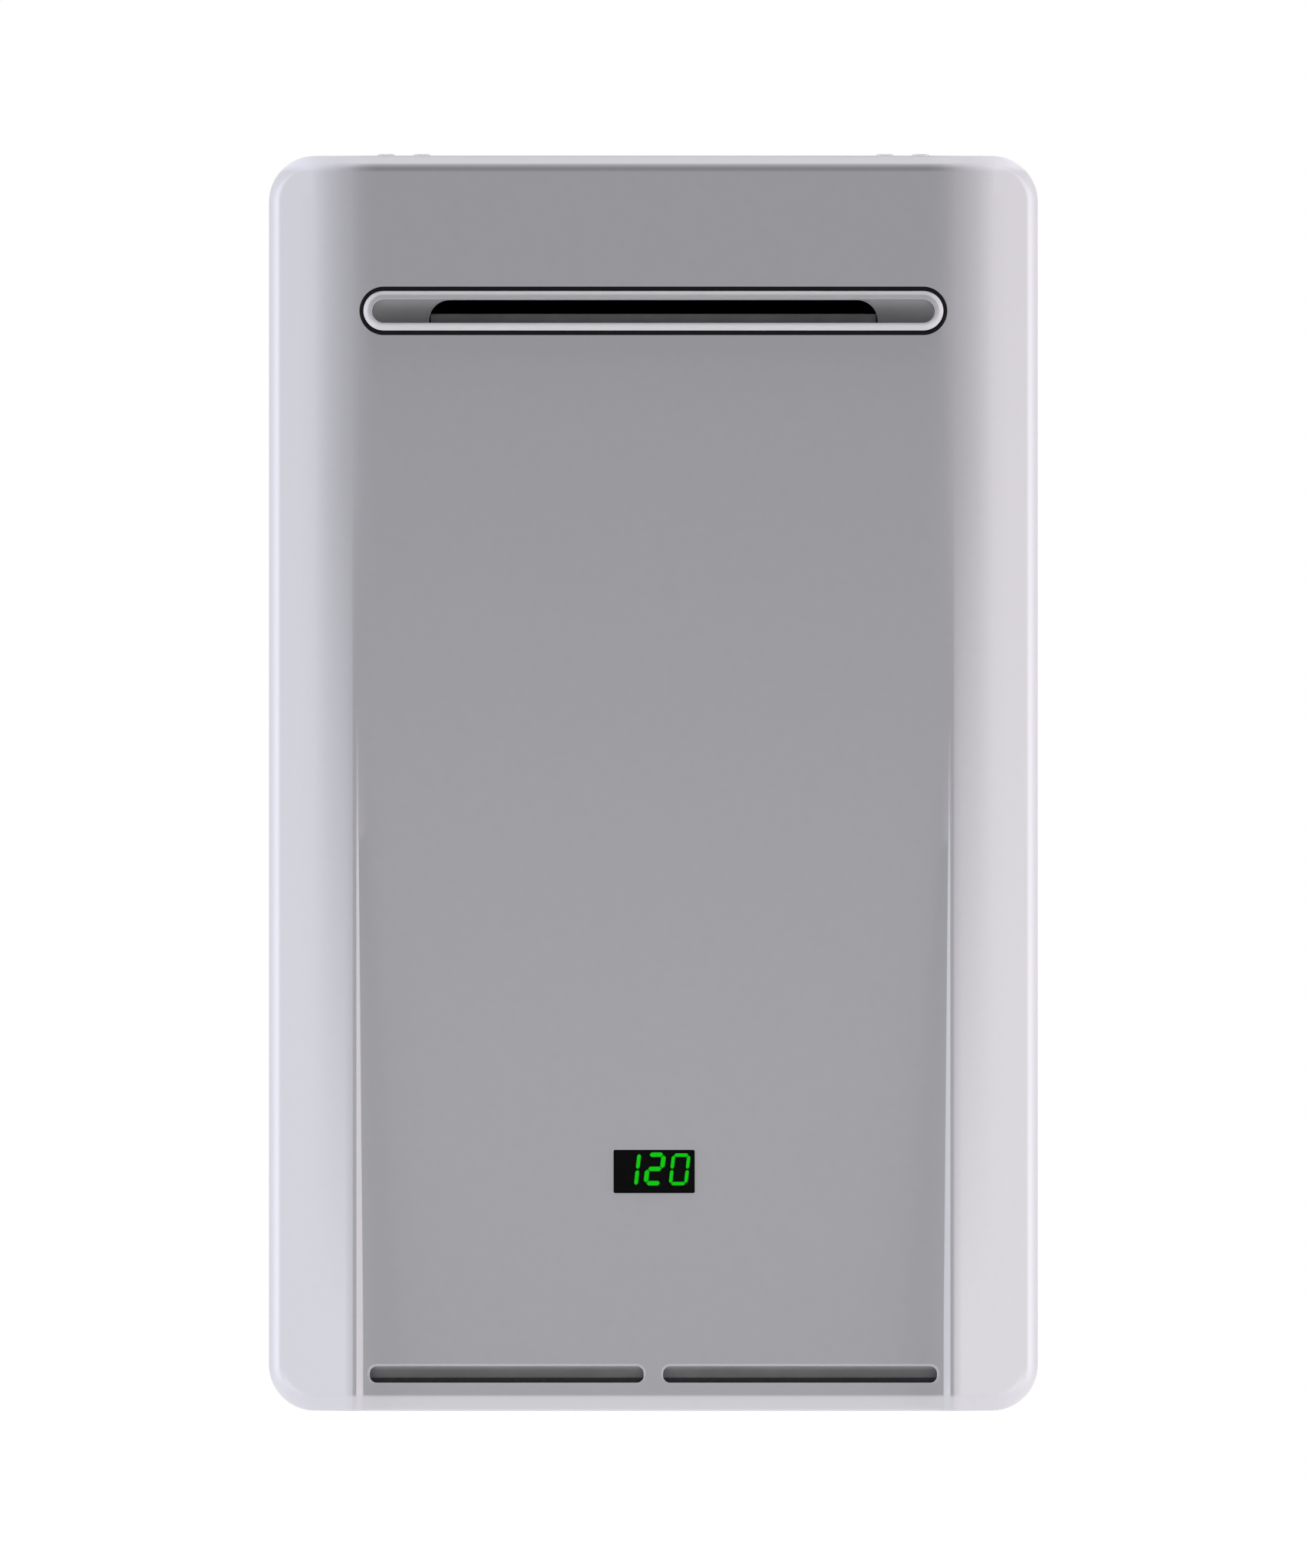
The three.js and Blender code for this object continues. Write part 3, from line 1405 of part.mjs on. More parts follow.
const waterValveZ = [sensorZ[1] + seat, sensorZ[1] + seat + waterValveTall];
const discZ = (waterValveZ[0] + waterValveZ[1]) / 2;
const valveMotorOff = [
  portOff + waterValveRadius + seat,
  portOff + waterValveRadius + seat + valveMotorDeep,
];
place('water_valve_body', cut(
  join(
    uprightRod(waterValveRadius, portX, portOff, waterValveZ, 24),
    bypassBoss(portX, discZ),
    forwardRod(bossRadius, portX, discZ, [portOff, portOff + waterValveRadius], 16),
  ),
  uprightRod(waterValveBore, portX, portOff, grown(waterValveZ, overrun), 24),
  bypassBore(portX, discZ),
  forwardRod(discShaft + seat, portX, discZ, [portOff, valveMotorOff[0] + overrun], 12),
), finishes.brass());

const shaftEnd = valveMotorOff[0] + shaftInMotor - portOff;
placeTurning('water_valve_disc', join(
  acrossRod(discRadius, 0, 0, [-discThick / 2, discThick / 2], 24),
  forwardRod(discShaft, 0, 0, [-discRadius / 2, shaftEnd], 12),
), finishes.brass(), [portX, portOff, discZ]);

place('water_valve_motor', cut(
  block(
    [portX - valveMotorHalf, portX + valveMotorHalf],
    valveMotorOff,
    grown([discZ, discZ], valveMotorTall / 2),
  ),
  forwardRod(
    discShaft + seat,
    portX,
    discZ,
    [valveMotorOff[0] - overrun, valveMotorOff[0] + shaftInMotor + plungerSlack],
    12,
  ),
), finishes.blackPlastic());

// Water pipes

const bypassSetback = 55;
const bypassFanGap = 12;
const bypassBend = 14;
const waterBend = 18;
const coldStep = 26.7;
const hotDrop = 20;

const coldTop = coilLegZ - seat;
place('cold_pipe', pipe([
  [portX, portOff, waterValveZ[1] + seat],
  [portX, portOff, coldTop - coldStep],
  [coilX, portOff, coldTop - coldStep / 4],
  [coilX, portOff, coldTop],
], coilRadius, waterBend / 2, 12, 2), finishes.copper());

place('hot_pipe', pipe([
  [-sideStub - seat, tubeRows[1], coreMidZ],
  [-portX, tubeRows[1], coreMidZ],
  [-portX, tubeRows[1], coreSpan[0] - hotDrop],
  [-portX, portOff, coreSpan[0] - hotDrop],
  [-portX, portOff, castingTop + seat],
], coilRadius, waterBend, 12, 4), finishes.copper());

const bypassOff = Math.min(portOff - bypassSetback, fanBack - bypassRadius - bypassFanGap);
const bossFace = portOff - bossReach - seat;
place('bypass_pipe', pipe([
  [portX, bossFace, discZ],
  [portX, bypassOff, discZ],
  [portX, bypassOff, bypassLow],
  [-portX, bypassOff, bypassLow],
  [-portX, bossFace, bypassLow],
], bypassRadius, bypassBend, 10, 4), finishes.copper());

// Control bracket across the case lip, inside the gasket

const controlSheet = 2;
const bracketBand = 27;
const bracketEndGap = 0.5;

const bracketReach = unitWidth / 2 - caseInset - gasketInset - gasketWide - bracketEndGap;
const controlOff = [caseFront + seat, caseFront + seat + controlSheet];
place('control_bracket', block(
  [-bracketReach, bracketReach],
  controlOff,
  grown([displayHeight, displayHeight], bracketBand / 2),
), finishes.galvanised());

// Control box with its board, display and lid

const controlHalf = 88;
const controlWall = 2;
const lidSetback = 8.9;
const lidThick = 2;
const boardThick = 1.6;
const boardGap = 3;
const postRadius = 4;
const postInset = 14;
const postTall = 14;
const capacitorRadius = 7;
const capacitorTall = 18;
const relayCount = 3;
const relayHalf = 10;
const relayTall = 14;
const moduleHalf = 22;
const moduleHalfTall = 13;
const moduleSetback = 1.4;
const moduleFit = 0.5;
const cableRadius = 3;

const controlX = [-controlHalf, controlHalf];
const controlZ = grown([displayHeight, displayHeight], controlTall / 2);
const lidOff = [lensBack - lidSetback, lensBack - lidSetback + lidThick];
const controlBack = controlOff[1] + seat;
const controlBoxOff = [controlBack, lidOff[0] - seat];
const postX = controlHalf - postInset;
const postZ = controlTall / 2 - postInset;
const postFront = controlBack + controlWall + postTall;
const fanCableX = fanX - postTall;
const fanCableOff = (controlBoxOff[0] + controlBoxOff[1]) / 2;
const corners = [-1, 1].flatMap((sx) => [-1, 1].map((sz) => [sx * postX, displayHeight + sz * postZ]));
place('control_box', cut(
  join(
    cut(
      block(controlX, controlBoxOff, controlZ),
      block(
        grown(controlX, -controlWall),
        [controlBack + controlWall, controlBoxOff[1] + overrun],
        grown(controlZ, -controlWall),
      ),
    ),
    ...corners.map(([x, z]) => forwardRod(postRadius, x, z, [controlBack + controlWall / 2, postFront], 10)),
  ),
), finishes.greyPlastic());

const boardOff = [postFront + seat, postFront + seat + boardThick];
const boardX = grown(controlX, -controlWall - boardGap);
const boardZ = grown(controlZ, -controlWall - boardGap);
const onBoard = boardOff[1] - boardThick / 2;
place('circuit_board', join(
  block(boardX, boardOff, boardZ),
  ...[-1, 1].map((side) => {
    const span = [onBoard, boardOff[1] + capacitorTall];
    return forwardRod(capacitorRadius, side * (moduleHalf + postInset), boardZ[1] - postInset, span, 14);
  }),
  ...repeat(relayCount, (i) => {
    const x = boardX[0] + postInset + relayHalf + i * (relayHalf * 2 + boardGap);
    const z = boardZ[0] + postInset;
    return block(grown([x, x], relayHalf), [onBoard, boardOff[1] + relayTall], grown([z, z], relayHalf));
  }),
), finishes.boardGreen());

// Display module: a tall block on the board with raised, leaning seven-segment digits

const digitPitch = 11.7;
const digitWide = 9.1;
const digitTall = 15.6;
const segmentWide = 1.7;
const digitRaise = 0.4;
const digitLean = 0.1;
const digitsShift = 1;
const digitsLift = 1;

const moduleFront = lensBack - moduleSetback;
const faceOff = moduleFront - digitRaise;

const segmentsOn = {
  0: ['top', 'upperLeft', 'upperRight', 'lowerLeft', 'lowerRight', 'bottom'],
  1: ['upperRight', 'lowerRight'],
  2: ['top', 'upperRight', 'middle', 'lowerLeft', 'bottom'],
};

function segmentBar([x0, x1], [z0, z1], centre) {
  const lean = (z) => z * digitLean;
  const points = [[x0, z0], [x1, z0], [x1, z1], [x0, z1]]
    .map(([x, z]) => [centre + x + lean(z), displayHeight + digitsLift + z]);
  return forwardPrism(polygon(points), [faceOff - digitRaise, moduleFront]);
}

function digit(value, centre) {
  const w = digitWide / 2;
  const t = digitTall / 2;
  const s = segmentWide;
  const sides = { Left: [-w, -w + s], Right: [w - s, w] };
  const bars = {
    top: [[-w, w], [t - s, t]],
    middle: [[-w, w], [-s / 2, s / 2]],
    bottom: [[-w, w], [-t, s - t]],
    upperLeft: [sides.Left, [0, t]],
    upperRight: [sides.Right, [0, t]],
    lowerLeft: [sides.Left, [-t, 0]],
    lowerRight: [sides.Right, [-t, 0]],
  };
  return join(...segmentsOn[value].map((name) => segmentBar(...bars[name], centre)));
}

place('display_module', join(
  block(
    [-moduleHalf, moduleHalf],
    [boardOff[1] + seat, faceOff],
    grown([displayHeight, displayHeight], moduleHalfTall),
  ),
  ...[1, 2, 0].map((value, i) => digit(value, digitsShift + (i - 1) * digitPitch)),
), finishes.blackPlastic());

place('control_lid', cut(
  block(controlX, lidOff, controlZ),
  block(
    grown([-moduleHalf, moduleHalf], moduleFit),
    grown(lidOff, overrun),
    grown([displayHeight, displayHeight], moduleHalfTall + moduleFit),
  ),
), finishes.greyPlastic());

// Ignition transformer on the left wall, and its lead to the igniter

const transformerWide = 34;
const transformerDeep = 50;
const transformerTall = 37;
const transformerSetback = 7;
const leadRadius = 2;
const leadBend = 7;
const leadRun = 9;

const transformerX = unitWidth / 2 - caseInner - seat;
const transformerOff = [caseFront - transformerSetback - transformerDeep, caseFront - transformerSetback];
const leadX = -transformerX + transformerWide / 2;
const terminalFront = boxFront + ceramicReach[1] + terminalReach;
const leadOff = terminalFront + leadRun;
place('ignition_transformer', block(
  [-transformerX, -transformerX + transformerWide],
  transformerOff,
  grown([gasRow, gasRow], transformerTall / 2),
), finishes.blackPlastic());

place('ignition_lead', pipe([
  [leadX, transformerOff[1] + seat, gasRow],
  [leadX, leadOff, gasRow],
  [leadX, leadOff, electrodeZ],
  [-electrodeX, leadOff, electrodeZ],
  [-electrodeX, terminalFront + seat, electrodeZ],
], leadRadius, leadBend, 8, 2), finishes.redCable());

// Fan cable from the motor over the scroll to the control box

const cableBend = 10;
const cableRise = 10;

const cableOff = (motorOff[0] + motorOff[1]) / 2;
const cableStart = fanZ + Math.sqrt(motorRadius ** 2 - (fanCableX - cableRadius - fanX) ** 2) + cableRadius;
const cableRunZ = fanZ + fanRadius + cableRise;
place('fan_cable', pipe([
  [fanCableX, cableOff, cableStart],
  [fanCableX, cableOff, cableRunZ],
  [fanCableX, fanCableOff, cableRunZ],
  [fanCableX, fanCableOff, controlZ[1] + seat],
], cableRadius, cableBend, 8, 2), finishes.blackRubber());

// Cable gland in the bottom plate

const glandFlange = 12;
const glandTop = 9;
const glandNutDrop = 6;
const glandNose = 7;

const glandSeatZ = [floorHeight - seat - glandNutDrop, floorHeight - seat];
place('cable_gland', cut(
  join(
    uprightRod(glandThread, glandX, glandOff, [glandSeatZ[0] - glandNose, fittingBase + glandTop], 16),
    uprightRod(glandFlange, glandX, glandOff, [fittingBase, fittingBase + flangeThick], 6),
    uprightRod(glandFlange, glandX, glandOff, glandSeatZ, 6),
  ),
  uprightRod(glandBore, glandX, glandOff, [nippleBottom, fittingBase + glandTop + overrun], 12),
), finishes.blackPlastic());

unit.position.z = -hangHeight;

export default unit;
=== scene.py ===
"""Looks of the outdoor tankless water heater.

Lengths are written in millimetres. Inside this file x is to the right, off is the distance off the
wall and z counts up from the cover's lowest edge, as the construction has them, and place() turns
them into the frame's metres.
"""

import json
import math

import bmesh
import bpy
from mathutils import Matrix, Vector

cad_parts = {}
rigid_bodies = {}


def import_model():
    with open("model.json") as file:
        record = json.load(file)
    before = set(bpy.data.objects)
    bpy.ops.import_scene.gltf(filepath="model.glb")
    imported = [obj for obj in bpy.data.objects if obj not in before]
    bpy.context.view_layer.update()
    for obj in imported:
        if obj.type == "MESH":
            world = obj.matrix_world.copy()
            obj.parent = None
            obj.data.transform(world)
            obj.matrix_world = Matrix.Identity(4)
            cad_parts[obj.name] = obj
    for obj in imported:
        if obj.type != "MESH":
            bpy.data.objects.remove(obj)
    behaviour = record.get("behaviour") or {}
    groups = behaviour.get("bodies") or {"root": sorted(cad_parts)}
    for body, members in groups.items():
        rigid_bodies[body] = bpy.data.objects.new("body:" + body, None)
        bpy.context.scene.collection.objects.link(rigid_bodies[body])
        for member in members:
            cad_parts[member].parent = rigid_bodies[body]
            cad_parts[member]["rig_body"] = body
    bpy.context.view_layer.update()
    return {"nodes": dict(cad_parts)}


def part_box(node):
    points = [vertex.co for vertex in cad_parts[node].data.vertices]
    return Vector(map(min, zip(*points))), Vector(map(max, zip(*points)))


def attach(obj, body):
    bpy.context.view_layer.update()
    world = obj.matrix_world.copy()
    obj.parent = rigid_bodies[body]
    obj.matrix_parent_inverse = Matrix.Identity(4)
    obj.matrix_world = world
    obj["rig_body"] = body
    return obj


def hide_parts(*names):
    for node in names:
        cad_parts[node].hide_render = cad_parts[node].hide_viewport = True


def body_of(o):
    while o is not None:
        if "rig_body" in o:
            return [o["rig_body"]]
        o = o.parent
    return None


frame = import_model()

MM = 0.001
COVER_LOW, COVER_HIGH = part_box("front_cover")
HANG = -COVER_LOW[2] / MM
WIDTH = (COVER_HIGH[0] - COVER_LOW[0]) / MM
HEIGHT = (COVER_HIGH[2] - COVER_LOW[2]) / MM
DEPTH = -COVER_LOW[1] / MM
SKIRT = -COVER_HIGH[1] / MM


def place(x, off, z):
    """A point of the frame, in metres."""
    return Vector((x, -off, z - HANG)) * MM


# Camera: a very long lens, level with the middle of the front, as the photograph has it

PHOTO_WIDE, PHOTO_TALL = 1706, 2048
PHOTO_LEFT, PHOTO_RIGHT = 350.5, 1356.5
PHOTO_BOTTOM = 1843
LENS = 1000
SENSOR = 36

MM_PER_PIXEL = WIDTH / (PHOTO_RIGHT - PHOTO_LEFT)
VIEW_TALL = PHOTO_TALL * MM_PER_PIXEL
VIEW_X = (PHOTO_WIDE / 2 - (PHOTO_LEFT + PHOTO_RIGHT) / 2) * MM_PER_PIXEL
VIEW_Z = (PHOTO_BOTTOM - PHOTO_TALL / 2) * MM_PER_PIXEL
VIEW_FAR = VIEW_TALL * LENS / SENSOR


def make_camera():
    data = bpy.data.cameras.new("camera")
    data.lens = LENS
    data.sensor_width = SENSOR
    data.clip_start = 0.1
    data.clip_end = 100
    camera = bpy.data.objects.new("camera", data)
    camera.location = place(VIEW_X, DEPTH + VIEW_FAR, VIEW_Z)
    camera.rotation_euler = (math.pi / 2, 0, 0)
    bpy.context.collection.objects.link(camera)
    bpy.context.scene.camera = camera


# Materials

def new_material(name):
    material = bpy.data.materials.new(name)
    material.use_nodes = True
    nodes = material.node_tree.nodes
    return material, nodes, material.node_tree.links, nodes["Principled BSDF"]


def add_node(nodes, kind, **values):
    made = nodes.new(kind)
    for key, value in values.items():
        setattr(made, key, value)
    return made


def noise(nodes, links, scale, detail=3.0, roughness=0.5, stretch=(1, 1, 1)):
    """A noise value laid out in the object's own metres."""
    where = add_node(nodes, "ShaderNodeTexCoord")
    mapping = add_node(nodes, "ShaderNodeMapping")
    mapping.inputs["Scale"].default_value = stretch
    pattern = add_node(nodes, "ShaderNodeTexNoise")
    pattern.inputs["Scale"].default_value = scale
    pattern.inputs["Detail"].default_value = detail
    pattern.inputs["Roughness"].default_value = roughness
    links.new(where.outputs["Object"], mapping.inputs["Vector"])
    links.new(mapping.outputs["Vector"], pattern.inputs["Vector"])
    return pattern.outputs["Fac"]


def ramp(nodes, links, value, low, high):
    """A value turned into a colour between two others, over the middle of its range."""
    made = add_node(nodes, "ShaderNodeValToRGB")
    for element, position, colour in zip(made.color_ramp.elements, (0.3, 0.7), (low, high)):
        element.position = position
        element.color = (*colour, 1)
    links.new(value, made.inputs["Fac"])
    return made.outputs["Color"]


def span(nodes, links, value, low, high):
    """A 0 to 1 value moved to another range."""
    made = add_node(nodes, "ShaderNodeMapRange")
    made.inputs["To Min"].default_value = low
    made.inputs["To Max"].default_value = high
    links.new(value, made.inputs["Value"])
    return made.outputs["Result"]


def bump(nodes, links, shader, value, height):
    """A relief of a height in millimetres on a shader."""
    made = add_node(nodes, "ShaderNodeBump")
    made.inputs["Distance"].default_value = height * MM
    links.new(value, made.inputs["Height"])
    links.new(made.outputs["Normal"], shader.inputs["Normal"])


def surface(
    name, low, high, rough, metallic=0.0, scale=60, stretch=(1, 1, 1), relief=None, specular=0.5,
):
    """A finish whose colour and roughness wander between two ends. A relief is its scale and height."""
    material, nodes, links, shader = new_material(name)
    value = noise(nodes, links, scale, 4, 0.55, stretch)
    links.new(ramp(nodes, links, value, low, high), shader.inputs["Base Color"])
    links.new(span(nodes, links, value, *rough), shader.inputs["Roughness"])
    shader.inputs["Metallic"].default_value = metallic
    shader.inputs["Specular IOR Level"].default_value = specular
    if relief:
        fine_scale, height = relief
        bump(nodes, links, shader, noise(nodes, links, fine_scale, 2, 0.6, stretch), height)
    return material


COOL = (0.99, 0.98, 1.04)
PAINT = [tuple(value * part for part in COOL) for value in (0.435, 0.445)]
PAINT_RELIEF = (2600, 0.006)


def make_materials():
    return {
        "paint": surface("silver_paint", *PAINT, (0.44, 0.48), scale=220, relief=PAINT_RELIEF),
        "case_paint": surface(
            "case_paint", *PAINT, (0.46, 0.5), scale=160, relief=PAINT_RELIEF, specular=0.4,
        ),
        "display_black": surface(
            "display_black", (0.002, 0.002, 0.002), (0.004, 0.004, 0.004), (0.6, 0.75), scale=160,
            relief=(900, 0.01), specular=0.05,
        ),
        "dark_strip": surface(
            "dark_strip", (0.26, 0.26, 0.265), (0.31, 0.31, 0.315), (0.5, 0.6), scale=120,
            relief=(900, 0.01), specular=0.2,
        ),
        "baffle": surface(
            "baffle_paint", (0.5, 0.5, 0.515), (0.54, 0.54, 0.555), (0.45, 0.55), scale=120,
            relief=(1500, 0.01), specular=0.25,
        ),
        "stainless": surface(
            "brushed_stainless", (0.55, 0.55, 0.56), (0.63, 0.63, 0.64), (0.24, 0.36),
            metallic=1.0, scale=40, stretch=(1, 30, 30), relief=(900, 0.012),
        ),
        "galvanised": surface(
            "galvanised_sheet", (0.46, 0.475, 0.485), (0.53, 0.545, 0.555), (0.36, 0.46),
            metallic=0.85, scale=90, relief=(700, 0.01),
        ),
        "zinc": surface(
            "zinc_plate", (0.5, 0.51, 0.52), (0.62, 0.62, 0.62), (0.25, 0.38), metallic=1.0, scale=300,
        ),
        "steel": surface(
            "turned_steel", (0.48, 0.48, 0.49), (0.58, 0.58, 0.58), (0.2, 0.34),
            metallic=1.0, scale=240,
        ),
        "dark_steel": surface(
            "blackened_steel", (0.035, 0.035, 0.037), (0.06, 0.06, 0.062), (0.45, 0.6),
            metallic=0.4, scale=120, relief=(500, 0.02),
        ),
        "flue_black": surface(
            "heat_blackened", (0.003, 0.003, 0.003), (0.007, 0.007, 0.007), (0.7, 0.85),
            relief=(300, 0.03), specular=0.05,
        ),
        "copper": surface(
            "copper", (0.62, 0.27, 0.14), (0.78, 0.42, 0.27), (0.22, 0.42), metallic=1.0, scale=45,
            relief=(400, 0.01),
        ),
        "brass": surface(
            "cast_brass", (0.55, 0.4, 0.16), (0.68, 0.53, 0.27), (0.28, 0.44), metallic=1.0, scale=110,
            relief=(900, 0.03),
        ),
        "cast": surface(
            "cast_aluminium", (0.46, 0.47, 0.48), (0.56, 0.57, 0.58), (0.42, 0.58), metallic=0.85,
            scale=160, relief=(900, 0.04),
        ),
        "rubber": surface(
            "black_rubber", (0.005, 0.005, 0.006), (0.009, 0.009, 0.011), (0.65, 0.8), scale=200,
            relief=(1600, 0.02), specular=0.12,
        ),
        # A dark finish of painted shade, for the strip put where the gap behind the slots lies in
        # shadow
        "gap_shade": surface(
            "dark_gap_shade", (0.055, 0.055, 0.06), (0.075, 0.075, 0.081), (0.85, 0.95), scale=600,
            relief=(1400, 0.08), specular=0.1,
        ),
        "black_plastic": surface(
            "black_plastic", (0.012, 0.012, 0.013), (0.02, 0.02, 0.021), (0.42, 0.55), scale=160,
            relief=(1800, 0.025),
        ),
        "grey_plastic": surface(
            "grey_plastic", (0.11, 0.115, 0.12), (0.14, 0.145, 0.15), (0.4, 0.52), scale=120,
            relief=(1800, 0.025),
        ),
        "ceramic": surface(
            "white_ceramic", (0.74, 0.73, 0.69), (0.82, 0.81, 0.78), (0.15, 0.25), scale=120,
        ),
        "board": surface(
            "solder_mask", (0.012, 0.11, 0.045), (0.02, 0.16, 0.07), (0.3, 0.4), scale=260,
        ),
        "red_cable": surface(
            "red_silicone", (0.36, 0.02, 0.015), (0.45, 0.035, 0.025), (0.45, 0.6), scale=160,
        ),
        "cover_paint": make_cover_paint(),
        "bead": make_bead_finish(),
        "plate": make_outlet_plate(),
        "lens": make_lens_material(),
        "glow": make_glow_material(),
    }


# A painted shade in the crease under the cover's top edge, and a painted highlight on the rim above
# it at the top corners. A fade tells how far aside of the middle a shade is whole and where it has
# ended, and a tone is what it multiplies the colour by.

CREASE_Z = 575.8
CREASE_WIDE = 1.9
CREASE_FADE = (126, 150)
CREASE_SHADE_TONE = 0.68
RIM_LOW, RIM_HIGH = 574, 578
RIM_FADE = (142, 126)
RIM_HIGHLIGHT_TONE = 1.28


def axes(nodes, links):
    """Where a point of the object lies, axis by axis."""
    where = add_node(nodes, "ShaderNodeTexCoord")
    parts = add_node(nodes, "ShaderNodeSeparateXYZ")
    links.new(where.outputs["Object"], parts.inputs["Vector"])
    return parts.outputs


def eased(nodes, links, value, near, far):
    """1 on the near side of a first value in millimetres and 0 beyond a second, eased between."""
    fall = add_node(nodes, "ShaderNodeMapRange", interpolation_type="SMOOTHSTEP")
    fall.inputs["From Min"].default_value = near * MM
    fall.inputs["From Max"].default_value = far * MM
    fall.inputs["To Min"].default_value = 1.0
    fall.inputs["To Max"].default_value = 0.0
    links.new(value, fall.inputs["Value"])
    return fall.outputs["Result"]


def shade(material, share, tone):
    """Multiplies a finish's colour by a tone, as far as a share says."""
    nodes, links = material.node_tree.nodes, material.node_tree.links
    base = nodes["Principled BSDF"].inputs["Base Color"]
    mixed = add_node(nodes, "ShaderNodeMix", data_type="RGBA", blend_type="MULTIPLY")
    colours = [socket for socket in mixed.inputs if socket.type == "RGBA"]
    links.new(base.links[0].from_socket, colours[0])
    colours[1].default_value = (tone, tone, tone, 1)
    links.new(share, mixed.inputs["Factor"])
    links.new([socket for socket in mixed.outputs if socket.type == "RGBA"][0], base)


def shade_below(material, low, high, tone):
    """Multiplies a finish's colour by a tone below a first height, fading out up to a second."""
    nodes, links = material.node_tree.nodes, material.node_tree.links
    shade(material, eased(nodes, links, axes(nodes, links)["Z"], low - HANG, high - HANG), tone)


def make_cover_paint():
    """The paint, with painted shade in the crease under the top edge and painted highlights at the top
    corners.
    """
    made = surface("cover_paint", *PAINT, (0.45, 0.49), scale=220, relief=PAINT_RELIEF, specular=0.4)
    nodes, links = made.node_tree.nodes, made.node_tree.links
    parts = axes(nodes, links)
    aside = add_node(nodes, "ShaderNodeMath", operation="ABSOLUTE")
    links.new(parts["X"], aside.inputs[0])
    away = add_node(nodes, "ShaderNodeMath", operation="SUBTRACT")
    links.new(parts["Z"], away.inputs[0])
    away.inputs[1].default_value = (CREASE_Z - HANG) * MM
    off_crease = add_node(nodes, "ShaderNodeMath", operation="ABSOLUTE")
    links.new(away.outputs[0], off_crease.inputs[0])
    # The first pass paints shade into the crease, the second paints a highlight onto the rim at the top
    # corners
    for value, reach, fade, tone in (
        (off_crease.outputs[0], (0, CREASE_WIDE), CREASE_FADE, CREASE_SHADE_TONE),
        (parts["Z"], (RIM_HIGH - HANG, RIM_LOW - HANG), RIM_FADE, RIM_HIGHLIGHT_TONE),
    ):
        both = add_node(nodes, "ShaderNodeMath", operation="MULTIPLY")
        links.new(eased(nodes, links, value, *reach), both.inputs[0])
        links.new(eased(nodes, links, aside.outputs[0], *fade), both.inputs[1])
        shade(made, both.outputs[0], tone)
    return made


def make_bead_finish():
    """Satin stainless, with a painted highlight that makes it lighter along the lower side of the
    exhaust's ring.
    """
    made = surface(
        "satin_stainless", (0.46, 0.46, 0.475), (0.5, 0.5, 0.515), (0.48, 0.53),
        scale=120, stretch=(1, 8, 8), relief=(1500, 0.003), specular=0.3,
    )
    shade_below(made, *BEAD_FADE, BEAD_HIGHLIGHT_TONE)
    return made


def make_outlet_plate():
    """The finish of the recessed outlet plate, with a painted shade that darkens it downwards."""
    made = surface(
        "outlet_plate", (0.46, 0.46, 0.472), (0.49, 0.49, 0.502), (0.42, 0.5),
        scale=120, relief=(1500, 0.006),
    )
    shade_below(made, *PLATE_FADE, PLATE_SHADE_TONE)
    return made


def make_lens_material():
    """A smoked lens: dark, and see-through enough for the lit digits behind it."""
    material, nodes, links, shader = new_material("smoked_lens")
    value = noise(nodes, links, 80)
    links.new(span(nodes, links, value, 0.1, 0.16), shader.inputs["Roughness"])
    shader.inputs["Base Color"].default_value = (0.004, 0.004, 0.004, 1)
    shader.inputs["Specular IOR Level"].default_value = 0.035
    shader.inputs["Alpha"].default_value = 0.7
    return material


GLOW = (0.004, 0.7, 0.005)
GLOW_STRENGTH = 9.2


def make_glow_material():
    """The lit green of the display's segments."""
    material, nodes, links, shader = new_material("green_segments")
    low = tuple(part * 0.9 for part in GLOW)
    value = noise(nodes, links, 900)
    links.new(ramp(nodes, links, value, low, GLOW), shader.inputs["Emission Color"])
    shader.inputs["Base Color"].default_value = (0.0, 0.02, 0.0, 1)
    shader.inputs["Emission Strength"].default_value = GLOW_STRENGTH
    shader.inputs["Roughness"].default_value = 0.5
    return material


# Meshes

WELD = 0.002


def new_object(name, vertices, faces, material, body, smooth_angle):
    """A mesh from points in millimetres, shaded smooth except across sharp edges."""
    mesh = bpy.data.meshes.new(name)
    mesh.from_pydata([place(*point) for point in vertices], [], faces)
    return finish_object(name, mesh, material, body, smooth_angle)


def shade_round(mesh, angle):
    """Shades a mesh smooth except across edges sharper than an angle in degrees."""
    mesh.shade_smooth()
    mesh.set_sharp_from_angle(angle=math.radians(angle))


def tidy_mesh(mesh, smooth_angle):
    """Joins points that lie together, turns all faces outwards and shades the mesh."""
    work = bmesh.new()
    work.from_mesh(mesh)
    bmesh.ops.remove_doubles(work, verts=work.verts, dist=WELD * MM)
    bmesh.ops.recalc_face_normals(work, faces=work.faces)
    if work.faces and work.calc_volume(signed=True) < 0:
        bmesh.ops.reverse_faces(work, faces=work.faces)
    work.to_mesh(mesh)
    work.free()
    shade_round(mesh, smooth_angle)


def finish_object(name, mesh, material, body, smooth_angle):
    tidy_mesh(mesh, smooth_angle)
    made = bpy.data.objects.new(name, mesh)
    bpy.context.collection.objects.link(made)
    made.data.materials.clear()
    made.data.materials.append(material)
    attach(made, body)
    return made


def add_modifier(made, kind, **values):
    modifier = made.modifiers.new(kind.lower(), kind)
    for key, value in values.items():
        setattr(modifier, key, value)


def apply_modifiers(made):
    """Bakes an object's modifiers into its mesh, which keeps its sharp edges."""
    depsgraph = bpy.context.evaluated_depsgraph_get()
    mesh = bpy.data.meshes.new_from_object(made.evaluated_get(depsgraph))
    made.modifiers.clear()
    made.data = mesh


def cut_with(made, cutters, smooth_angle):
    """Takes cutters away from an object, and then deletes them."""
    for cutter in cutters:
        add_modifier(made, "BOOLEAN", object=cutter, operation="DIFFERENCE", solver="EXACT")
    apply_modifiers(made)
    for cutter in cutters:
        bpy.data.objects.remove(cutter)
    tidy_mesh(made.data, smooth_angle)


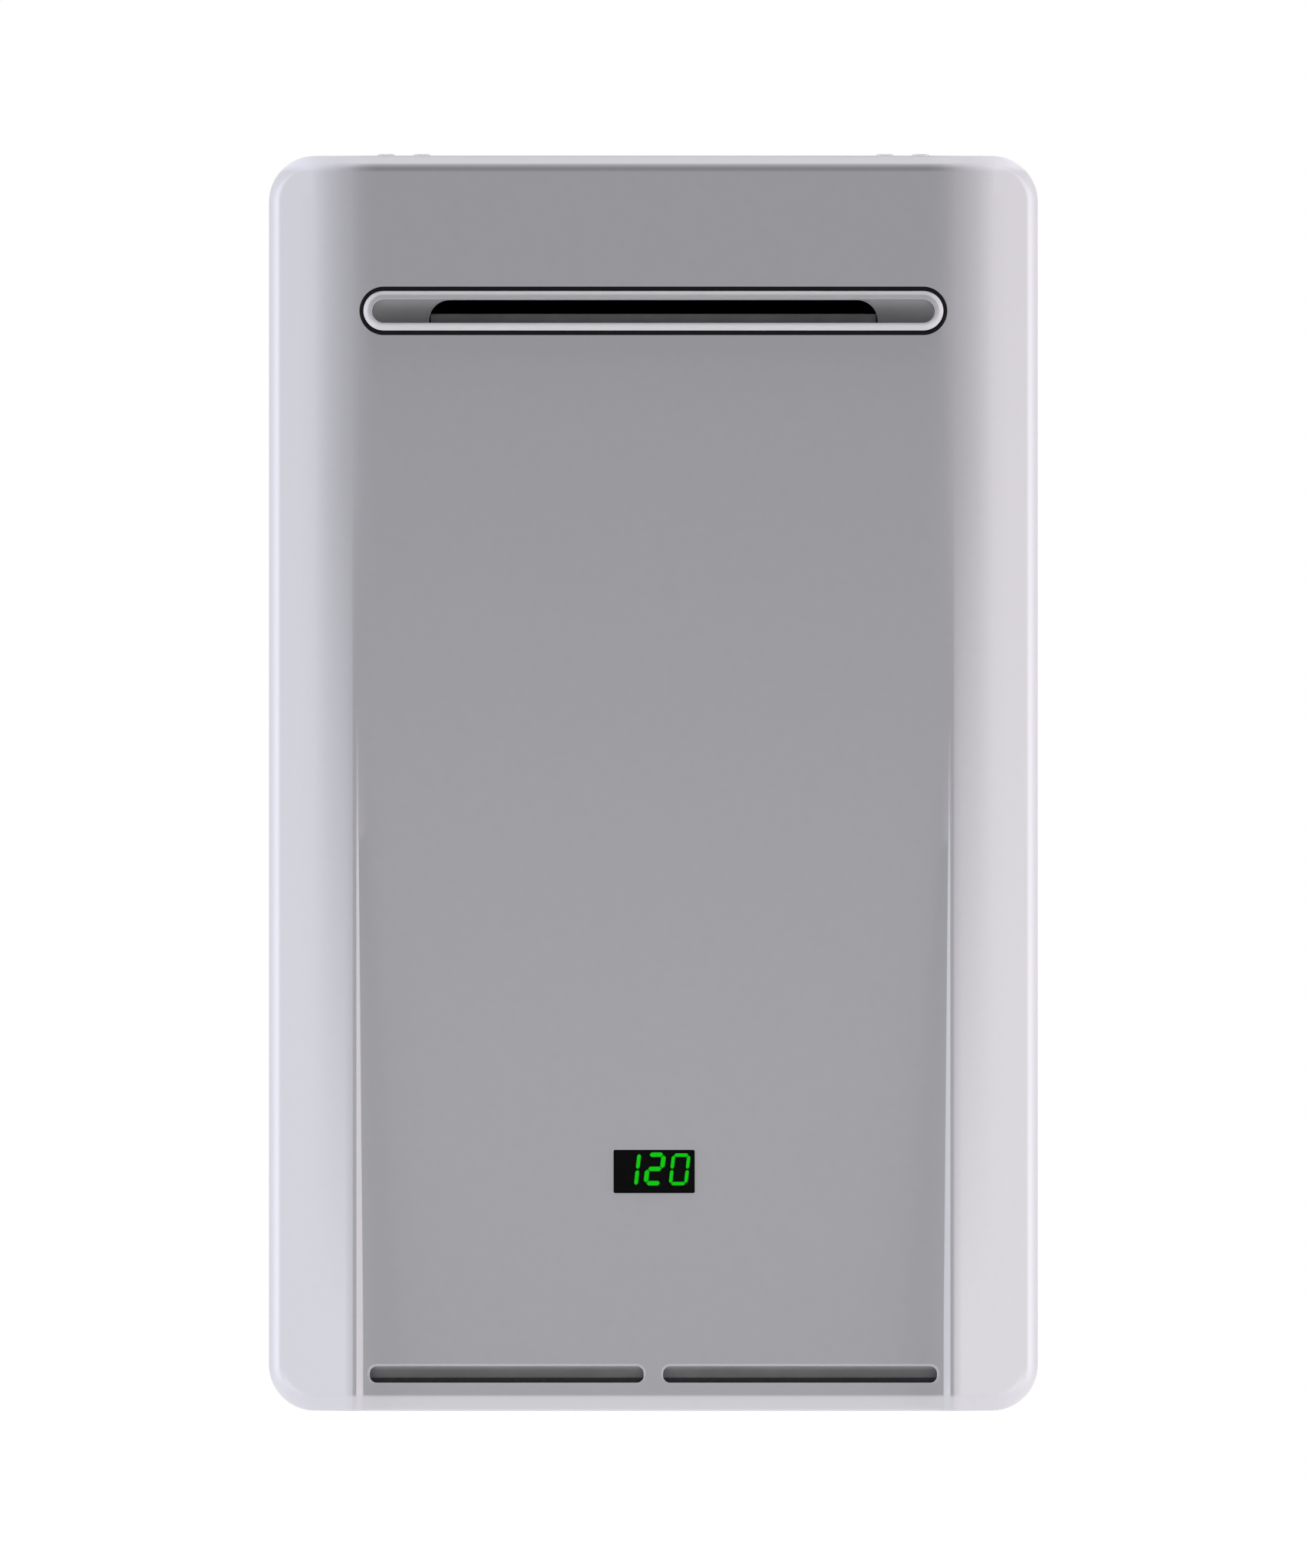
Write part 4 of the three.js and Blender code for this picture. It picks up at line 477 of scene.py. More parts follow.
def ring_faces(rings, looped=False):
    """Quads between rings of points that all have the same count, numbered ring by ring."""
    count = len(rings[0])
    faces = []
    for r in range(len(rings) if looped else len(rings) - 1):
        for i in range(count):
            j = (i + 1) % count
            a, b = r * count, ((r + 1) % len(rings)) * count
            faces.append((a + i, a + j, b + j, b + i))
    return faces


def joined(rings):
    """The points of several rings in one list."""
    return [point for ring in rings for point in ring]


def new_loop(name, rings, material, body="root", smooth_angle=40):
    """A surface carried through rings of points and from the last one back to the first."""
    return new_object(name, joined(rings), ring_faces(rings, looped=True), material, body, smooth_angle)


def new_solid(name, parts, material, body="root", smooth_angle=35):
    """An object of one or more solids, each of them rings of points with a face at either end."""
    points, faces = [], []
    for rings in parts:
        start, count = len(points), len(rings[0])
        points += joined(rings)
        faces += [tuple(start + i for i in face) for face in ring_faces(rings)]
        faces.append(tuple(reversed(range(start, start + count))))
        faces.append(tuple(range(len(points) - count, len(points))))
    return new_object(name, points, faces, material, body, smooth_angle)


def level(outline, off):
    """An outline in x and z, set at a distance off the wall."""
    return [(x, off, z) for x, z in outline]


def prism(name, outline, off_span, finish="paint"):
    """An outline in x and z carried from one distance off the wall to another."""
    return new_solid(name, [[level(outline, off) for off in off_span]], materials[finish])


def upright(name, plan, z_span):
    """A cutter: a plan in x and off carried from one height to another."""
    return new_solid(name, [[[(x, off, z) for x, off in plan] for z in z_span]], materials["paint"])


def arc(centre, radius, start, end, steps):
    """Points of an arc in a plane, angles in degrees, both ends included."""
    angles = [math.radians(start + (end - start) * i / steps) for i in range(steps + 1)]
    return [(centre[0] + radius * math.cos(a), centre[1] + radius * math.sin(a)) for a in angles]


def grown(span, grow):
    """A span made longer at either end."""
    return span[0] - grow, span[1] + grow


def rounded_outline(x_span, z_span, radius, steps=12):
    x0, x1 = x_span
    z0, z1 = z_span
    r = radius
    return (
        arc((x1 - r, z0 + r), r, -90, 0, steps) + arc((x1 - r, z1 - r), r, 0, 90, steps)
        + arc((x0 + r, z1 - r), r, 90, 180, steps) + arc((x0 + r, z0 + r), r, 180, 270, steps)
    )


def stadium_outline(x_span, z_span, steps):
    r = (z_span[1] - z_span[0]) / 2
    z = (z_span[0] + z_span[1]) / 2
    return arc((x_span[1] - r, z), r, -90, 90, steps) + arc((x_span[0] + r, z), r, 90, 270, steps)


# The front cover's form: bevelled sides that blend into the panel at the top, with a crisp ridge that
# rises on each side towards the bottom

SHEET = 1.2
CORNER = 21
EDGE = 5.4
RIDGE_X = 139.4
RIDGE_RISE = 3.6
RIDGE_FLAT = 1.9
RIDGE_WALL = 0.76
LEAST_WALL = 0.6
RIDGE_START = 430
RIDGE_FULL = 40
BLEND = 52
TILT = math.radians(35)
SLOPE = math.tan(TILT)
PANEL = DEPTH - RIDGE_RISE
MEET = RIDGE_X + RIDGE_RISE / SLOPE
BLEND_IN = MEET - BLEND * math.tan(TILT / 2)
BLEND_OUT = BLEND_IN + BLEND * math.sin(TILT)
HALF = WIDTH / 2
EXHAUST_Z = 510
WINDOW_Z = 111


def mix(a, b, share):
    return a + (b - a) * share


def ridge_share(z):
    """How far the ridge has risen at a height, from 0 to 1."""
    return min(max((RIDGE_START - z) / (RIDGE_START - RIDGE_FULL), 0), 1)


def bevel_plane(a):
    """How far off the wall the bevel is, so far aside of the middle."""
    return DEPTH - (a - RIDGE_X) * SLOPE


def blended(a):
    """The panel and the bevel with a round blend between them, where no ridge has risen."""
    if a <= BLEND_IN:
        return PANEL
    if a >= BLEND_OUT:
        return bevel_plane(a)
    return PANEL - (BLEND - math.sqrt(BLEND ** 2 - (a - BLEND_IN) ** 2))


def ridge_height(z):
    return mix(blended(RIDGE_X), DEPTH, ridge_share(z)) - PANEL


def wall_foot(z):
    """How far aside of the middle the ridge's inner wall starts."""
    return RIDGE_X - RIDGE_FLAT - max(LEAST_WALL, RIDGE_WALL * ridge_height(z))


def cover_face(x, z):
    """The cover's face before its edges turn: panel, ridges and bevels."""
    a = abs(x)
    if a >= RIDGE_X:
        return mix(blended(a), bevel_plane(a), ridge_share(z))
    height = ridge_height(z)
    if height <= 0:
        return PANEL + (blended(a) - PANEL) * height / (blended(RIDGE_X) - PANEL)
    foot = wall_foot(z)
    return PANEL + height * min(max((a - foot) / (RIDGE_X - RIDGE_FLAT - foot), 0), 1)


def edge_drop(inset, radius):
    """How far a round edge has fallen away at an inset."""
    return 0 if inset >= radius else radius - math.sqrt(radius ** 2 - (radius - inset) ** 2)


# The tilt of the top and bottom edges, in degrees, at insets from the outside
TOP_TURN = (
    (0, 76), (0.25, 58), (0.5, 49), (0.9, 45), (3.3, 45), (3.95, 36), (4.5, 21), (5.1, 7), (5.6, 0),
)
LOW_TURN = (
    (0, 76), (0.25, 56), (0.6, 38), (1, 34.5), (6, 32), (6.7, 25), (7.2, 12), (7.6, 4), (8.1, 0),
)


def turned_drop(inset, table):
    """How far an edge with such tilts has fallen away at an inset."""
    drop = 0
    for (near, steep), (far, flat) in zip(table, table[1:]):
        start = min(max(inset, near), far)
        here = steep + (flat - steep) * (start - near) / (far - near)
        drop += (far - start) * (math.tan(math.radians(here)) + math.tan(math.radians(flat))) / 2
    return drop


ROWS = 72
FACE_ROWS = [CORNER + (HEIGHT - 2 * CORNER) * i / ROWS for i in range(ROWS + 1)]
CORNER_STEPS = 16
FOLD = 0.28
# Columns lie at shares of the panel's and the bevel's width, and close to each fold
PANEL_SHARES = (0.14, 0.28, 0.42, 0.56, 0.7, 0.84)
BEVEL_SHARES = (0.2, 0.4, 0.6, 0.8, 1)
NEAR, NEARER = 0.25, 0.12


def face_columns(z):
    """Columns across the face at a height, following the foot and the top of the ridge's wall."""
    foot = wall_foot(z)
    top = RIDGE_X - RIDGE_FLAT
    right = [BLEND_IN * share for share in PANEL_SHARES]
    right += [BLEND_IN, mix(BLEND_IN, foot - NEAR, 0.5), foot - NEAR, foot + NEARER]
    right += [top - NEARER, top + NEAR, RIDGE_X - NEAR, RIDGE_X + NEAR]
    right += [mix(RIDGE_X, HALF - CORNER, share) for share in BEVEL_SHARES]
    return [-x for x in reversed(right)] + [0] + right


def softened(x, z):
    """The face with its folds rounded over a short width."""
    samples = [cover_face(abs(x) + shift, z) for shift in (-FOLD, 0, FOLD)]
    return (samples[0] + samples[1] * 2 + samples[2]) / 4


def outer_off(x, z, inset, shrink=0.0):
    """The cover's outside, or with a shrink its inside, one sheet smaller."""
    plain = edge_drop(inset, EDGE - shrink)
    away = max(CORNER - min(z, HEIGHT - z), 0)
    if away:
        beside = max(abs(x) - (HALF - CORNER), 0)
        level_share = away / math.hypot(away, beside)
        table = TOP_TURN if z > HEIGHT / 2 else LOW_TURN
        plain = mix(plain, turned_drop(inset + shrink, table), level_share ** 2)
    return softened(x, z) - shrink - plain


def cover_ring(inset, shrink, off=None):
    """One closed ring round the cover at an inset from its outside, on its surface or at a level."""
    i = inset + shrink
    corner = CORNER - i
    low, high = CORNER, HEIGHT - CORNER
    edge = HALF - CORNER
    points = [(x, i) for x in face_columns(FACE_ROWS[0])]
    points += arc((edge, low), corner, -90, 0, CORNER_STEPS)[1:]
    points += [(HALF - i, z) for z in FACE_ROWS[1:]]
    points += arc((edge, high), corner, 0, 90, CORNER_STEPS)[1:]
    points += [(x, HEIGHT - i) for x in reversed(face_columns(FACE_ROWS[-1])[:-1])]
    points += arc((-edge, high), corner, 90, 180, CORNER_STEPS)[1:]
    points += [(-HALF + i, z) for z in reversed(FACE_ROWS[:-1])]
    points += arc((-edge, low), corner, 180, 270, CORNER_STEPS)[1:-1]
    if off is not None:
        return level(points, off)
    return [(x, outer_off(x, z, inset, shrink), z) for x, z in points]


def cover_layer(insets, shrink):
    """The rings of one side of the sheet, from its lip forwards, and the grid that closes them."""
    rings = [cover_ring(0, shrink, SKIRT)] + [cover_ring(inset, shrink) for inset in insets]
    grid = [[(x, outer_off(x, z, CORNER, shrink), z) for x in face_columns(z)] for z in FACE_ROWS]
    return rings, grid


def grid_faces(grid, start):
    wide = len(grid[0])
    faces = []
    for r in range(len(grid) - 1):
        for c in range(wide - 1):
            a = start + r * wide + c
            faces.append((a, a + 1, a + wide + 1, a + wide))
    return faces


OUTER_INSETS = (
    0, 0.12, 0.25, 0.42, 0.6, 0.8, 1, 1.6, 2.4, 3.1, 3.5, 3.85, 4.2, 4.5, 4.8, 5.1, 5.4, 5.8, 6.2, 6.5,
    6.8, 7.05, 7.3, 7.55, 7.8, 8.3, 9.5, 14, CORNER,
)
INNER_INSETS = (0, 0.4, 1, 2, 3, 4.2, 5.3, 6.3, 7.2, 12, CORNER - SHEET)
COVER_ANGLE = 28
SLOT_X = (4.5, 131.5)
SLOT_Z = (13.1, 20.55)
SLOT_ROUND = 3.2
SLOT_ROLL = 1.45
EXHAUST_REACH = 136.3
EXHAUST_TALL = 22.5
WINDOW_X = (-18.5, 19.2)
WINDOW_TALL = 20.1
WINDOW_ROUND = 0.8
WINDOW_SPAN = (WINDOW_Z - WINDOW_TALL / 2, WINDOW_Z + WINDOW_TALL / 2)
SCREW_PLACES = (-124.4, -107.7, 107.7, 124.4)
SCREW_OFF = 167
NOTCH_HALF = 2.5
NOTCH_REACH = 3
CUT_BACK, CUT_AHEAD = 30, 10


def slot_outline(side, grow):
    x_span = sorted(side * x for x in SLOT_X)
    return rounded_outline(grown(x_span, grow), grown(SLOT_Z, grow), SLOT_ROUND + grow)


def exhaust_outline(inset, steps=28):
    middle = EXHAUST_TALL / 2 - inset
    reach = EXHAUST_REACH - inset
    return stadium_outline((-reach, reach), (EXHAUST_Z - middle, EXHAUST_Z + middle), steps)


def notch(x):
    """A cutter for the notch round one screw, open towards the back."""
    back = SKIRT - 5
    plan = [(x - NOTCH_HALF, back), *arc((x, SCREW_OFF), NOTCH_HALF, 180, 0, 8), (x + NOTCH_HALF, back)]
    return upright("cut_notch", plan, grown((HEIGHT, HEIGHT), NOTCH_REACH))


def make_cover():
    outer_rings, outer_grid = cover_layer(OUTER_INSETS, 0.0)
    inner_rings, inner_grid = cover_layer(INNER_INSETS, SHEET)
    rings = list(reversed(inner_rings)) + outer_rings
    points = joined(rings)
    faces = ring_faces(rings)
    faces += grid_faces(outer_grid, len(points))
    points += joined(outer_grid)
    faces += [tuple(reversed(face)) for face in grid_faces(inner_grid, len(points))]
    points += joined(inner_grid)
    cover = new_object(
        "cover_skin", points, faces, materials["cover_paint"], "front_cover", COVER_ANGLE,
    )
    reach = (PANEL - CUT_BACK, DEPTH + CUT_AHEAD)
    cutters = [
        prism("cut_exhaust", exhaust_outline(0, steps=24), reach),
        prism("cut_slot_left", slot_outline(-1, SLOT_ROLL), reach),
        prism("cut_slot_right", slot_outline(1, SLOT_ROLL), reach),
        prism("cut_window", rounded_outline(WINDOW_X, WINDOW_SPAN, WINDOW_ROUND, steps=4), reach),
    ]
    cut_with(cover, cutters + [notch(x) for x in SCREW_PLACES], COVER_ANGLE)
    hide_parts("front_cover")


# Light

AMBIENT = 0.138
# Each sun's name, the way it comes from, its strength and colour, and its width in degrees
SUNS = (
    ("sun_left", (-1, -0.02, 0), 3.9, (0.925, 0.93, 1.0), 24),
    ("sun_right", (1, -0.02, 0), 3.97, (1.0, 0.955, 0.985), 24),
    ("sun_above", (0, -0.05, 1), 2.62, (0.99, 0.985, 1.0), 10),
    ("sun_below", (0, -0.6, -0.8), 1.35, (1.0, 0.995, 1.0), 30),
    ("sun_under", (0, 0, -1), 1.95, (1.0, 0.995, 1.0), 10),
)
FILL_WIDE, FILL_TALL, FILL_POWER = 1200, 300, 0.75
FILL_AHEAD, FILL_Z = 450, 100


def make_world():
    """White for what is seen straight on, in reflections and through, and softer light for the rest."""
    world = bpy.data.worlds.new("world")
    bpy.context.scene.world = world
    world.use_nodes = True
    nodes = world.node_tree.nodes
    links = world.node_tree.links
    nodes.clear()
    path = nodes.new("ShaderNodeLightPath")
    first = add_node(nodes, "ShaderNodeMath", operation="MAXIMUM")
    second = add_node(nodes, "ShaderNodeMath", operation="MAXIMUM")
    links.new(path.outputs["Is Camera Ray"], first.inputs[0])
    links.new(path.outputs["Is Glossy Ray"], first.inputs[1])
    links.new(first.outputs[0], second.inputs[0])
    links.new(path.outputs["Is Transmission Ray"], second.inputs[1])
    soft, white = nodes.new("ShaderNodeBackground"), nodes.new("ShaderNodeBackground")
    soft.inputs["Color"].default_value = (0.98, 0.98, 1.0, 1)
    soft.inputs["Strength"].default_value = AMBIENT
    white.inputs["Color"].default_value = (1, 1, 1, 1)
    white.inputs["Strength"].default_value = 1.0
    mixed = nodes.new("ShaderNodeMixShader")
    output = nodes.new("ShaderNodeOutputWorld")
    links.new(second.outputs[0], mixed.inputs["Fac"])
    links.new(soft.outputs["Background"], mixed.inputs[1])
    links.new(white.outputs["Background"], mixed.inputs[2])
    links.new(mixed.outputs["Shader"], output.inputs["Surface"])


def make_sun(name, source, strength, colour, spread):
    """A wide, far light that comes from a direction."""
    data = bpy.data.lights.new(name, "SUN")
    data.energy = strength
    data.color = colour
    data.angle = math.radians(spread)
    lamp = bpy.data.objects.new(name, data)
    lamp.rotation_euler = Vector(source).to_track_quat("Z", "Y").to_euler()
    bpy.context.collection.objects.link(lamp)


def make_fill():
    """A soft low light in front of the lower half, seen neither straight on nor in reflections."""
    data = bpy.data.lights.new("fill_low", "AREA")
    data.shape = "RECTANGLE"
    data.size = FILL_WIDE * MM
    data.size_y = FILL_TALL * MM
    data.energy = FILL_POWER
    lamp = bpy.data.objects.new("fill_low", data)
    lamp.location = place(0, DEPTH + FILL_AHEAD, FILL_Z)
    lamp.rotation_euler = (math.pi / 2, 0, 0)
    lamp.visible_glossy = False
    lamp.visible_camera = False
    bpy.context.collection.objects.link(lamp)


def make_lights():
    for sun in SUNS:
        make_sun(*sun)
    make_fill()


# Exhaust outlet: a rolled bead round a recessed plate, in a rubber seal, with a strip behind its mouth

RING_IN = 1.85
RING_WIDE = 3.95
# How far the ring's lower side is moved up along its outer edge and down along its inner edge
LOW_RISE, LOW_SINK = 0.3, 0.19
# The painted highlight on the ring's lower side: the heights where it is whole and where it has faded,
# and how much it lightens the colour
BEAD_FADE = (EXHAUST_Z - 8, EXHAUST_Z - 3)
BEAD_HIGHLIGHT_TONE = 1.2
PLATE_OFF = PANEL - 8.4
PLATE_THICK = 1.5
PLATE_OVER = 6
# The painted shade on the plate: the heights where it is whole and where it has faded, and how much it
# darkens the colour
PLATE_FADE = (EXHAUST_Z - 11, EXHAUST_Z + 7)
PLATE_SHADE_TONE = 0.47
MOUTH_HALF = 104.4
MOUTH_ROUND = 10
MOUTH_SINK = 0.15
MOUTH_LOW = EXHAUST_Z - EXHAUST_TALL / 2 + RING_IN + RING_WIDE - MOUTH_SINK
MOUTH_HIGH = EXHAUST_Z + 5.4
LIP_ROUND = 0.35
LIP_SUNK = 0.2
SHARP_ANGLE = 30
# The bead's section: the inset, and how far it stands off the panel along the upper and lower side
BEAD = (
    (0, -1, -1), (0, -0.6, -0.1), (0.12, -0.36, 0.1), (0.5, 0.02, 0.3), (1.2, 0.73, 0.68),
    (1.85, 1.38, 1.03), (2.05, 1.46, 1.14), (2.4, 1.47, 1.33), (2.68, 1.47, 1.48), (3, 1.52, 1.62),
    (3.5, 1.6, 1.78), (3.7, 1.53, 1.76), (3.85, 1.25, 1.45), (3.95, 0.7, 0.8),
)
# The seal's section: the inset and the distance off the wall
SEAL = (
    (0.12, PLATE_OFF + 1.8), (0.12, PANEL - 0.9), (0.3, PANEL - 0.45), (0.9, PANEL - 0.3),
    (1.5, PANEL - 0.45), (1.75, PANEL - 0.9), (1.75, PLATE_OFF + 1.8),
)
STRIP_HALF = 103.4
# The strip's section: the distance off the wall and the height
STRIP = (
    (216, 499.4), (238.2, 499.4), (238.6, 499.8), (238.6, 508.2), (238, 508.7), (236.9, 508.7),
    (236.6, 508.3), (236.6, 501.2), (216, 501.2),
)


def bead_rings():
    """The bead's rings, whose lower side is a little narrower than the upper."""
    deep = PLATE_OFF - PANEL
    reach = EXHAUST_TALL / 2 - RING_IN
    rings = []
    for inset, above, below in ((0, deep, deep), *BEAD, (RING_WIDE, deep, deep)):
        ring = []
        for x, z in exhaust_outline(RING_IN + inset):
            lowered = min(max((EXHAUST_Z + reach - z) / reach / 2, 0), 1)
            narrower = mix(LOW_RISE, -LOW_SINK, inset / RING_WIDE) * lowered
            ring.append((x, PANEL + mix(above, below, lowered), z + narrower))
        rings.append(ring)
    return rings


def mouth_outline():
    """Square at the bottom, where it meets the bead, and rounded at the top."""
    half = MOUTH_HALF - MOUTH_ROUND
    top = MOUTH_HIGH - MOUTH_ROUND
    return [
        (-MOUTH_HALF, MOUTH_LOW), (MOUTH_HALF, MOUTH_LOW),
        *arc((half, top), MOUTH_ROUND, 0, 90, 14), *arc((-half, top), MOUTH_ROUND, 90, 180, 14),
    ]


def mouth_lip():
    """A half-round lip over the mouth's sides and top, standing forward from the plate."""
    corner, *others = mouth_outline()
    path = [corner, *reversed(others)]
    front = PLATE_OFF + PLATE_THICK - LIP_SUNK
    rings = []
    for i, (x, z) in enumerate(path):
        before = path[max(i - 1, 0)]
        after = path[min(i + 1, len(path) - 1)]
        along = Vector((after[0] - before[0], after[1] - before[1])).normalized()
        rings.append([
            (x + along.y * across, front + out, z - along.x * across)
            for across, out in arc((0, 0), LIP_ROUND, 0, 180, 10)
        ])
    return new_solid("exhaust_mouth_lip", [rings], materials["plate"])


def new_strip(name, section, half, finish, body="root"):
    """A strip with one section of off and z points all along."""
    rings = [[(x, off, z) for off, z in section] for x in (-half, half)]
    return new_solid(name, [rings], materials[finish], body, SHARP_ANGLE)


def make_exhaust():
    bead = new_loop("exhaust_bead", bead_rings(), materials["bead"])
    plate = prism(
        "exhaust_plate", exhaust_outline(-PLATE_OVER), (PLATE_OFF, PLATE_OFF + PLATE_THICK), "plate",
    )
    mouth = prism("cut_mouth", mouth_outline(), grown((PLATE_OFF, PLATE_OFF), CUT_AHEAD))
    cut_with(plate, [mouth], SHARP_ANGLE)
    lip = mouth_lip()
    seal_rings = [level(exhaust_outline(inset), off) for inset, off in SEAL]
    seal = new_loop("exhaust_rubber", seal_rings, materials["rubber"])
    for piece in (bead, plate, lip):
        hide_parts("exhaust_ring")
    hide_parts("exhaust_seal")


def make_flue_strip():
    """A folded strip that stands right behind the lower half of the mouth."""
    strip = new_strip("flue_strip", STRIP, STRIP_HALF, "dark_strip")
    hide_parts("flue_baffle")


# Display: a smoked lens behind the cover's window, and a lit seven-segment face behind the lens

LENS_BACK = 245.6
LENS_GAP = 0.25
# The lens's rings: how far each stands out from the window's edge and forward, and its corner's radius
LENS_RINGS = (
    (3.2, 0, 4), (3.2, 1.2, 4), (3, 1.45, 3.8), (0, 1.45, 0.8), (0, 2.6, 0.8), (-0.15, 2.98, 0.68),
    (-0.5, 3.1, 0.4),
)
MODULE_FRONT = 244.2
MODULE_ROUND = 1.6
MODULE_RIM = (
    (0, MODULE_FRONT - 1.4), (-0.4, MODULE_FRONT - 0.8), (-1.2, MODULE_FRONT - 0.8),
    (-1.5, MODULE_FRONT - 1),
)
SLANT = math.tan(math.radians(6.3))
FACE_OFF = MODULE_FRONT - 0.95
FACE_THICK = 0.5
# The digits from the left: what each shows, its centre, width and height, and its bars' thickness
DIGITS = (
    (1, (-11, 111.9), 9.1, 16.6, 1.75),
    (2, (0.65, 112.15), 9, 15.3, 2.1),
    (0, (12.2, 111.95), 8.7, 14.8, 1.6),
)
LIT = {
    0: ("top", "bottom", "upper_left", "upper_right", "lower_left", "lower_right"),
    1: ("upper_right", "lower_right"),
    2: ("top", "middle", "bottom", "upper_right", "lower_left"),
}
BAR_GAP_SHARE = 0.16
BAR_TIP_SHARE = 0.42
DIGIT_ANGLE = 20


def make_lens():
    """The window's lens, with a wider foot behind the cover."""
    x_span, z_span = grown(WINDOW_X, -LENS_GAP), grown(WINDOW_SPAN, -LENS_GAP)
    rings = []
    for grow, forward, radius in LENS_RINGS:
        outline = rounded_outline(grown(x_span, grow), grown(z_span, grow), radius, steps=8)
        rings.append(level(outline, LENS_BACK + forward))
    lens = new_solid("display_lens", [rings], materials["lens"], "front_cover")
    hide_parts("display_window")


def segment(start, end, wide):
    """A bar with pointed ends between two points of the display's face."""
    a, b = Vector(start), Vector(end)
    along = (b - a).normalized()
    side = Vector((-along.y, along.x)) * wide / 2
    tip = along * wide * BAR_TIP_SHARE
    return [tuple(v) for v in (a, a + tip - side, b - tip - side, b, b - tip + side, a + tip + side)]


def digit_bars(kind, centre, wide, tall, thick):
    """The lit bars of one digit, leaning to the right."""
    w, t = wide / 2 - thick / 2, tall / 2 - thick / 2
    bars = {
        "top": ((-w, t), (w, t)), "middle": ((-w, 0), (w, 0)), "bottom": ((-w, -t), (w, -t)),
        "upper_left": ((-w, t), (-w, 0)), "upper_right": ((w, t), (w, 0)),
        "lower_left": ((-w, 0), (-w, -t)), "lower_right": ((w, 0), (w, -t)),
    }
    made = []
    for name in LIT[kind]:
        a, b = (Vector(end) for end in bars[name])
        gap = (b - a).normalized() * thick * BAR_GAP_SHARE
        outline = segment(a + gap, b - gap, thick)
        made.append([(centre[0] + x + z * SLANT, centre[1] + z) for x, z in outline])
    return made


def make_display():
    """The display's body, hollowed a little at its face, and the lit digits on it."""
    low, high = (Vector(corner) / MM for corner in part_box("display_module"))
    x_span, z_span = (-high.x, high.x), (low.z + HANG, high.z + HANG)
    rings = []
    for grow, off in ((0, -high.y), *MODULE_RIM):
        radius = MODULE_ROUND + grow / 2
        outline = rounded_outline(grown(x_span, grow), grown(z_span, grow), radius, steps=6)
        rings.append(level(outline, off))
    body = new_solid("display_body", [rings], materials["display_black"])
    bars = [bar for digit in DIGITS for bar in digit_bars(*digit)]
    parts = [[level(bar, FACE_OFF), level(bar, FACE_OFF + FACE_THICK)] for bar in bars]
    digits = new_solid("display_digits", parts, materials["glow"], smooth_angle=DIGIT_ANGLE)
    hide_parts("display_module")
    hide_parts("display_module")


# Slots: the lips round them and, behind them, a dark strip of painted shade

# The lips' section: how far each ring stands out from the slot, and forward of the panel
LIP = (
    (SLOT_ROLL + 0.04, -0.02), (1.2, -0.02), (0.95, -0.1), (0.35, -0.55), (0.1, -0.85), (0, -1.4),
    (0, -4.2), (0.75, -4.2), (0.9, -1.6), (SLOT_ROLL + 0.04, -1),
)
# Rings shallower than this are nearly level along the slot's lower side
LIP_SHALLOW = 1
LIP_LOW_SHARE = 0.12
LIP_ANGLE = 50
GAP_SHADE_HALF = 133
GAP_SHADE = ((237.3, 15.25), (240.2, 15.25), (240.8, 14.7), (240.8, 9.4), (240.2, 8.8), (232.2, 8.8))


def make_slot_lips():
    """The sheet's edge rolls inwards round each slot, less so along its lower side."""
    z0, z1 = SLOT_Z
    for side, name in ((-1, "left"), (1, "right")):
        rings = []
        for grow, forward in LIP:
            ring = []
            for x, z in slot_outline(side, grow):
                rise = min(max((z - z0) / (z1 - z0), 0), 1)
                share = mix(LIP_LOW_SHARE, 1, rise) if forward > -LIP_SHALLOW else 1
                ring.append((x, PANEL + forward * share, z))
            rings.append(ring)
        new_loop("slot_lip_" + name, rings, materials["paint"], "front_cover", LIP_ANGLE)


def make_gap_shade_strip():
    """A dark strip along the lower edge of the slanted strip behind the slots: painted shade, put where
    the gap there lies in shadow.
    """
    body = body_of(frame["nodes"]["intake_baffle"])[0]
    new_strip("baffle_gap_shade", GAP_SHADE, GAP_SHADE_HALF, "gap_shade", body)


# Screws on the cover

SCREW_SEAT = HEIGHT + 0.1
SCREW_HEAD = 4.1
SCREW_RISE = 1.75
SCREW_CORE, SCREW_CREST, SCREW_TIP = 1.55, 2.0, 0.6
SCREW_POINT = 1
SCREW_NECK = 0.6
SCREW_PITCH = 1.2
# One turn of the thread: shares of its pitch, and the radius there
SCREW_TURN = ((0.3, SCREW_CREST), (0.5, SCREW_CREST), (0.8, SCREW_CORE), (1, SCREW_CORE))
SCREW_ANGLE = 35
CROSS_WIDE, CROSS_NARROW, CROSS_DEEP = 2.1, 0.45, 0.9
CORNERS = ((-1, -1), (1, -1), (1, 1), (-1, 1))


def round_ring(radius, steps):
    """Points of a whole circle about zero."""
    turns = [2 * math.pi * i / steps for i in range(steps)]
    return [(radius * math.cos(a), radius * math.sin(a)) for a in turns]


def lathe(profile, centre, steps):
    """Rings about an upright axis, from pairs of radius and z."""
    x, off = centre
    return [[(x + u, off + v, z) for u, v in round_ring(r, steps)] for r, z in profile]


def screw_profile(foot):
    """Radius and z of a cover screw, from its tip up the thread and round its head."""
    z = foot + SCREW_POINT
    profile = [(SCREW_TIP, foot), (SCREW_CORE, z)]
    while z + SCREW_PITCH < SCREW_SEAT - SCREW_NECK:
        profile += [(radius, z + share * SCREW_PITCH) for share, radius in SCREW_TURN]
        z += SCREW_PITCH
    top = SCREW_SEAT + SCREW_RISE
    return profile + [
        (SCREW_CREST, SCREW_SEAT), (SCREW_HEAD - 0.15, SCREW_SEAT), (SCREW_HEAD, SCREW_SEAT + 0.2),
        (SCREW_HEAD, top - 0.7), (SCREW_HEAD - 0.25, top - 0.25), (SCREW_HEAD - 0.9, top),
    ]


